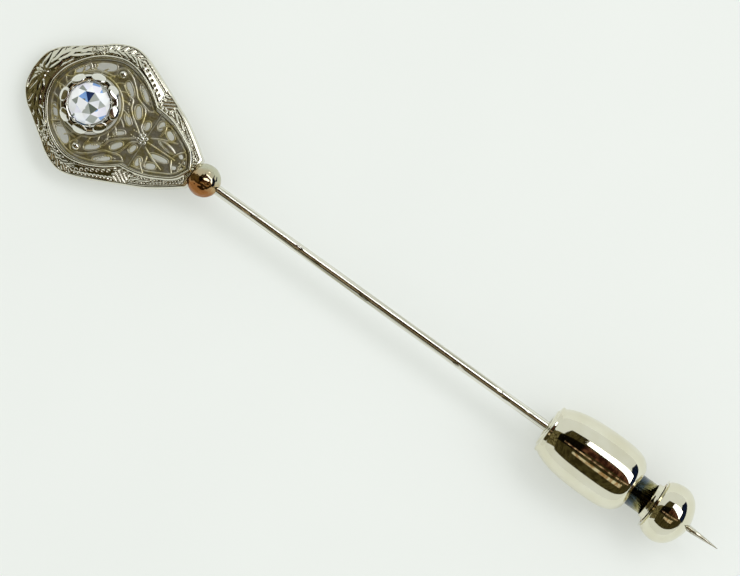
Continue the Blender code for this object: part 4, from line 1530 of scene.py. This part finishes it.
BARREL_OUTSIDE = (
    (0.10, 1.56), (0.50, 1.97), (1.05, 2.24), (1.75, 2.45), (2.65, 2.60), (3.70, 2.68),
    (4.70, 2.71), (5.70, 2.70), (6.45, 2.64), (7.00, 2.53), (7.45, 2.34), (7.75, 2.10),
    (7.95, 1.84),
)
BARREL_MOUTH = ((0.0, 1.34), (0.01, 1.44), (0.04, 1.51))
BARREL_RIM = ((8.01, 1.74), (8.02, 1.69), (7.99, 1.64))
BARREL_BORE = (
    (7.90, 1.62), (7.25, 1.62), (7.25, 2.05), (0.75, 2.05), (0.75, 0.83), (0.04, 0.83),
    (0.0, 0.87),
)
KNOB_OUTSIDE = (
    (9.92, 1.78), (9.96, 1.90), (10.10, 2.06), (10.32, 2.20), (10.65, 2.32), (11.15, 2.40),
    (11.60, 2.36), (12.05, 2.18), (12.45, 1.86), (12.75, 1.44), (12.95, 0.98), (13.05, 0.68),
    (13.08, 0.55),
)
KNOB_INSIDE = (
    (13.06, 0.48), (12.62, 0.47), (12.60, 0.90), (12.20, 1.55), (11.70, 1.92), (11.10, 2.02),
    (10.50, 1.90), (10.36, 1.76), (9.92, 1.76),
)
FERRULE_OUTSIDE = (
    (9.46, 1.42), (9.50, 1.455), (9.60, 1.465), (9.70, 1.485), (9.78, 1.54), (9.83, 1.58),
    (9.87, 1.575), (9.88, 1.55),
)
FERRULE_BORE = ((9.88, 1.34), (9.46, 1.34))


def along_stem(points):
    return [(BARREL_START + distance * MM, radius * MM) for distance, radius in points]


class STICKPIN_OT_barrel(bpy.types.Operator):
    """Turn the clutch barrel"""

    bl_idname = "stick_pin.barrel"
    bl_label = "Clutch barrel"

    def execute(self, context):
        outside = [v[:] for v in smooth_line(BARREL_OUTSIDE, 6)]
        profile = along_stem(list(BARREL_MOUTH) + outside + list(BARREL_RIM) + list(BARREL_BORE))
        barrel = lathe("clutch_shell", profile, settings().lathe_steps)
        finish_piece(
            barrel, nickel_plated_brass(), "clutch_case", ("clutch_barrel",), 40.0,
        )
        return {"FINISHED"}


class STICKPIN_OT_neck(bpy.types.Operator):
    """Model the sleeve seen at the neck, and its ferrule"""

    bl_idname = "stick_pin.neck"
    bl_label = "Neck"

    def execute(self, context):
        smooth_copy("ball_cage", "neck_sleeve", tarnished_sleeve(), "plunger")
        profile = along_stem(list(FERRULE_OUTSIDE) + list(FERRULE_BORE))
        ring = lathe("flared_ferrule", profile, settings().lathe_steps)
        finish_piece(ring, nickel_plated_brass(), "plunger", ("neck_ferrule",), 50.0)
        return {"FINISHED"}


class STICKPIN_OT_knob(bpy.types.Operator):
    """Turn the release knob"""

    bl_idname = "stick_pin.knob"
    bl_label = "Release knob"

    def execute(self, context):
        outside = [v[:] for v in smooth_line(KNOB_OUTSIDE, 6)]
        profile = along_stem(outside + list(KNOB_INSIDE))
        knob = lathe("pull_knob", profile, settings().lathe_steps)
        finish_piece(knob, nickel_plated_brass(), "plunger", ("release_knob",), 40.0)
        return {"FINISHED"}


# Brass pieces inside the clutch: CAD node, piece and body
TURNED_PIECES = (
    ("entry_eyelet", "guide_eyelet", "clutch_carrier"), ("cone_seat", "wedge_cone", "clutch_case"),
    ("end_collar", "closing_collar", "clutch_case"),
    ("thrust_washer", "spring_washer", "pull_carrier"),
    ("knob_back_plate", "knob_plate", "plunger"),
)
SPRING_WIRE, SPRING_TURNS, SPRING_STEPS = 0.125, 5, 24


class STICKPIN_OT_inner_works(bpy.types.Operator):
    """Finish the pieces inside the clutch"""

    bl_idname = "stick_pin.inner_works"
    bl_label = "Inner works"

    def execute(self, context):
        for node, name, body in TURNED_PIECES:
            smooth_copy(node, name, turned_brass(), body)
        for k in (1, 2, 3):
            smooth_copy(
                f"lock_ball_{k}", f"gripping_ball_{k}", ground_steel(), f"grip_ball_{k}",
                80.0,
            )
        return {"FINISHED"}


class STICKPIN_OT_spring(bpy.types.Operator):
    """Wind the return spring"""

    bl_idname = "stick_pin.spring"
    bl_label = "Return spring"

    def execute(self, context):
        low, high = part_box("return_spring")
        radius = SPRING_WIRE * MM
        coil = (high.y - low.y) / 2 - radius
        first, last = low.x + radius, high.x - radius
        steps = SPRING_TURNS * SPRING_STEPS
        points = []
        for i in range(steps + 1):
            angle = math.tau * i / SPRING_STEPS
            points.append((
                first + (last - first) * i / steps, coil * math.sin(angle),
                AXIS_HEIGHT - coil * math.cos(angle),
            ))
        spring = rod(points, radius)
        spring.name = "coil_spring"
        finish_piece(
            spring, spring_steel(), "clutch_case", ("return_spring",), 50.0,
        )
        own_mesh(spring)
        return {"FINISHED"}


# ---------------------------------------------------------------------------------------------
# Stage
# ---------------------------------------------------------------------------------------------

VIEW_TURN = math.radians(35.67)
VIEW_WIDTH = 56.4 * MM
VIEW_CENTRE = Vector((-1.08 * MM, 0.71 * MM, 0.0))
LENS = 200.0
SENSOR = 36.0
CLIP = 0.01, 20.0
FLOOR_SIZE = 6.0
ROOM_COLOUR, ROOM_STRENGTH = "#EEF2EE", 0.90
SOFTBOX = "key_softbox"

# Level cards overhead: name, corners as the angles in degrees from straight up at which they're
# seen, height in metres, then the light: name, colour, strength and second colour
CEILING_CARDS = (
    ("dark_ceiling", ((-44, -58), (84, -58), (84, 45), (-30, 45)), 0.75,
     ("dark_room", "#5A5230", 0.6, "#3A3218")),
    ("dark_doorway", ((-38, -16), (-2, -10), (-2, 24), (-38, 14)), 0.74,
     ("black_doorway", "#0C0B08", 0.5, "#181408")),
    ("cream_strip", ((-10, -24), (40, -30), (40, -14), (-10, -17)), 0.72,
     ("cream_card", "#F0E6C4", 0.8, "#B08A5A")),
    ("warm_line", ((-24, -7), (60, -4), (60, 1), (-24, -3)), 0.72,
     ("warm_lamp", "#E8C8A0", 0.8, "#4A2A1C")),
    ("red_strip", ((-4, 4), (62, 2), (62, 16), (-4, 24)), 0.73,
     ("brown_card", "#8E5E44", 0.5, "#3A1E14")),
    (SOFTBOX, ((-4, 29), (60, 9), (62, 49), (-4, 44)), 0.71,
     ("white_softbox", "#FFFFFF", 3.4, "#F4F8FF")),
)

# Standing cards: name, corners in metres, then the light as above
WALL_CARDS = (
    ("dark_wall", ((-1.4, -1.1, 0.02), (-1.4, -0.1, 0.02), (-1.4, 0.7, 2.2), (-1.4, -2.2, 2.2)),
     ("olive_room", "#8A8158", 0.7, "#453C20")),
    ("navy_coat", ((1.4, 0.0, 0.02), (1.4, 2.5, 0.02), (1.4, 2.2, 1.25), (1.4, 0.3, 1.25)),
     ("navy_cloth", "#10182C", 0.6, "#1C2A4A")),
)


def board(name, corners, light):
    """A flat card seen only in reflections, through four corners."""
    deselect()
    bpy.ops.mesh.primitive_plane_add(size=1.0)
    plane = bpy.context.object
    plane.name = name
    for vertex, k in zip(plane.data.vertices, (0, 1, 3, 2)):
        vertex.co = corners[k]
    plane.data.materials.append(glow(*light))
    plane.visible_camera = False
    plane.visible_diffuse = name == SOFTBOX
    plane.visible_shadow = False


class STICKPIN_OT_stage(bpy.types.Operator):
    """Lay the floor, hang the cards and lights, and place the camera"""

    bl_idname = "stick_pin.stage"
    bl_label = "Stage"

    def execute(self, context):
        scene = context.scene
        deselect()
        bpy.ops.mesh.primitive_plane_add(size=FLOOR_SIZE)
        ground = context.object
        ground.name = "floor"
        ground.data.materials.append(floor_paper())

        world = bpy.data.worlds.new("pale_room")
        scene.world = world
        world.use_nodes = True
        back = world.node_tree.nodes["Background"]
        back.inputs["Color"].default_value = rgba(linear(ROOM_COLOUR))
        back.inputs["Strength"].default_value = ROOM_STRENGTH

        for name, seen, height, light in CEILING_CARDS:
            corners = [
                (*(height * math.tan(math.radians(angle)) for angle in pair), height)
                for pair in seen
            ]
            board(name, corners, light)
        for wall in WALL_CARDS:
            board(*wall)

        data = bpy.data.cameras.new("camera")
        camera = bpy.data.objects.new("camera", data)
        scene.collection.objects.link(camera)
        data.lens = LENS
        data.sensor_width = SENSOR
        data.clip_start, data.clip_end = CLIP
        camera.location = VIEW_CENTRE + Vector((0.0, 0.0, VIEW_WIDTH * LENS / SENSOR))
        camera.rotation_euler = (0.0, 0.0, VIEW_TURN)
        scene.camera = camera
        scene.view_settings.view_transform = "Standard"
        return {"FINISHED"}


OPERATORS = (
    STICKPIN_OT_border, STICKPIN_OT_gallery, STICKPIN_OT_fan, STICKPIN_OT_beads,
    STICKPIN_OT_setting, STICKPIN_OT_stone, STICKPIN_OT_ball, STICKPIN_OT_stem,
    STICKPIN_OT_barrel, STICKPIN_OT_neck, STICKPIN_OT_knob, STICKPIN_OT_inner_works,
    STICKPIN_OT_spring, STICKPIN_OT_stage,
)


class STICKPIN_PT_panel(bpy.types.Panel):
    """Lists the pieces of the pin"""

    bl_idname = "STICKPIN_PT_panel"
    bl_label = "Stick Pin"
    bl_space_type = "VIEW_3D"
    bl_region_type = "UI"
    bl_category = "Stick Pin"

    def draw(self, context):
        for name in StickPinSettings.__annotations__:
            self.layout.prop(context.scene.stick_pin, name)
        for operator in OPERATORS:
            self.layout.operator(operator.bl_idname)


CLASSES = (StickPinSettings, *OPERATORS, STICKPIN_PT_panel)


def register():
    for each in CLASSES:
        bpy.utils.register_class(each)
    bpy.types.Scene.stick_pin = PointerProperty(type=StickPinSettings)


def unregister():
    del bpy.types.Scene.stick_pin
    for each in reversed(CLASSES):
        bpy.utils.unregister_class(each)


def main():
    register()
    for operator in OPERATORS:
        group, name = operator.bl_idname.split(".")
        getattr(getattr(bpy.ops, group), name)()
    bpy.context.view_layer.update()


if __name__ == "__main__":
    main()
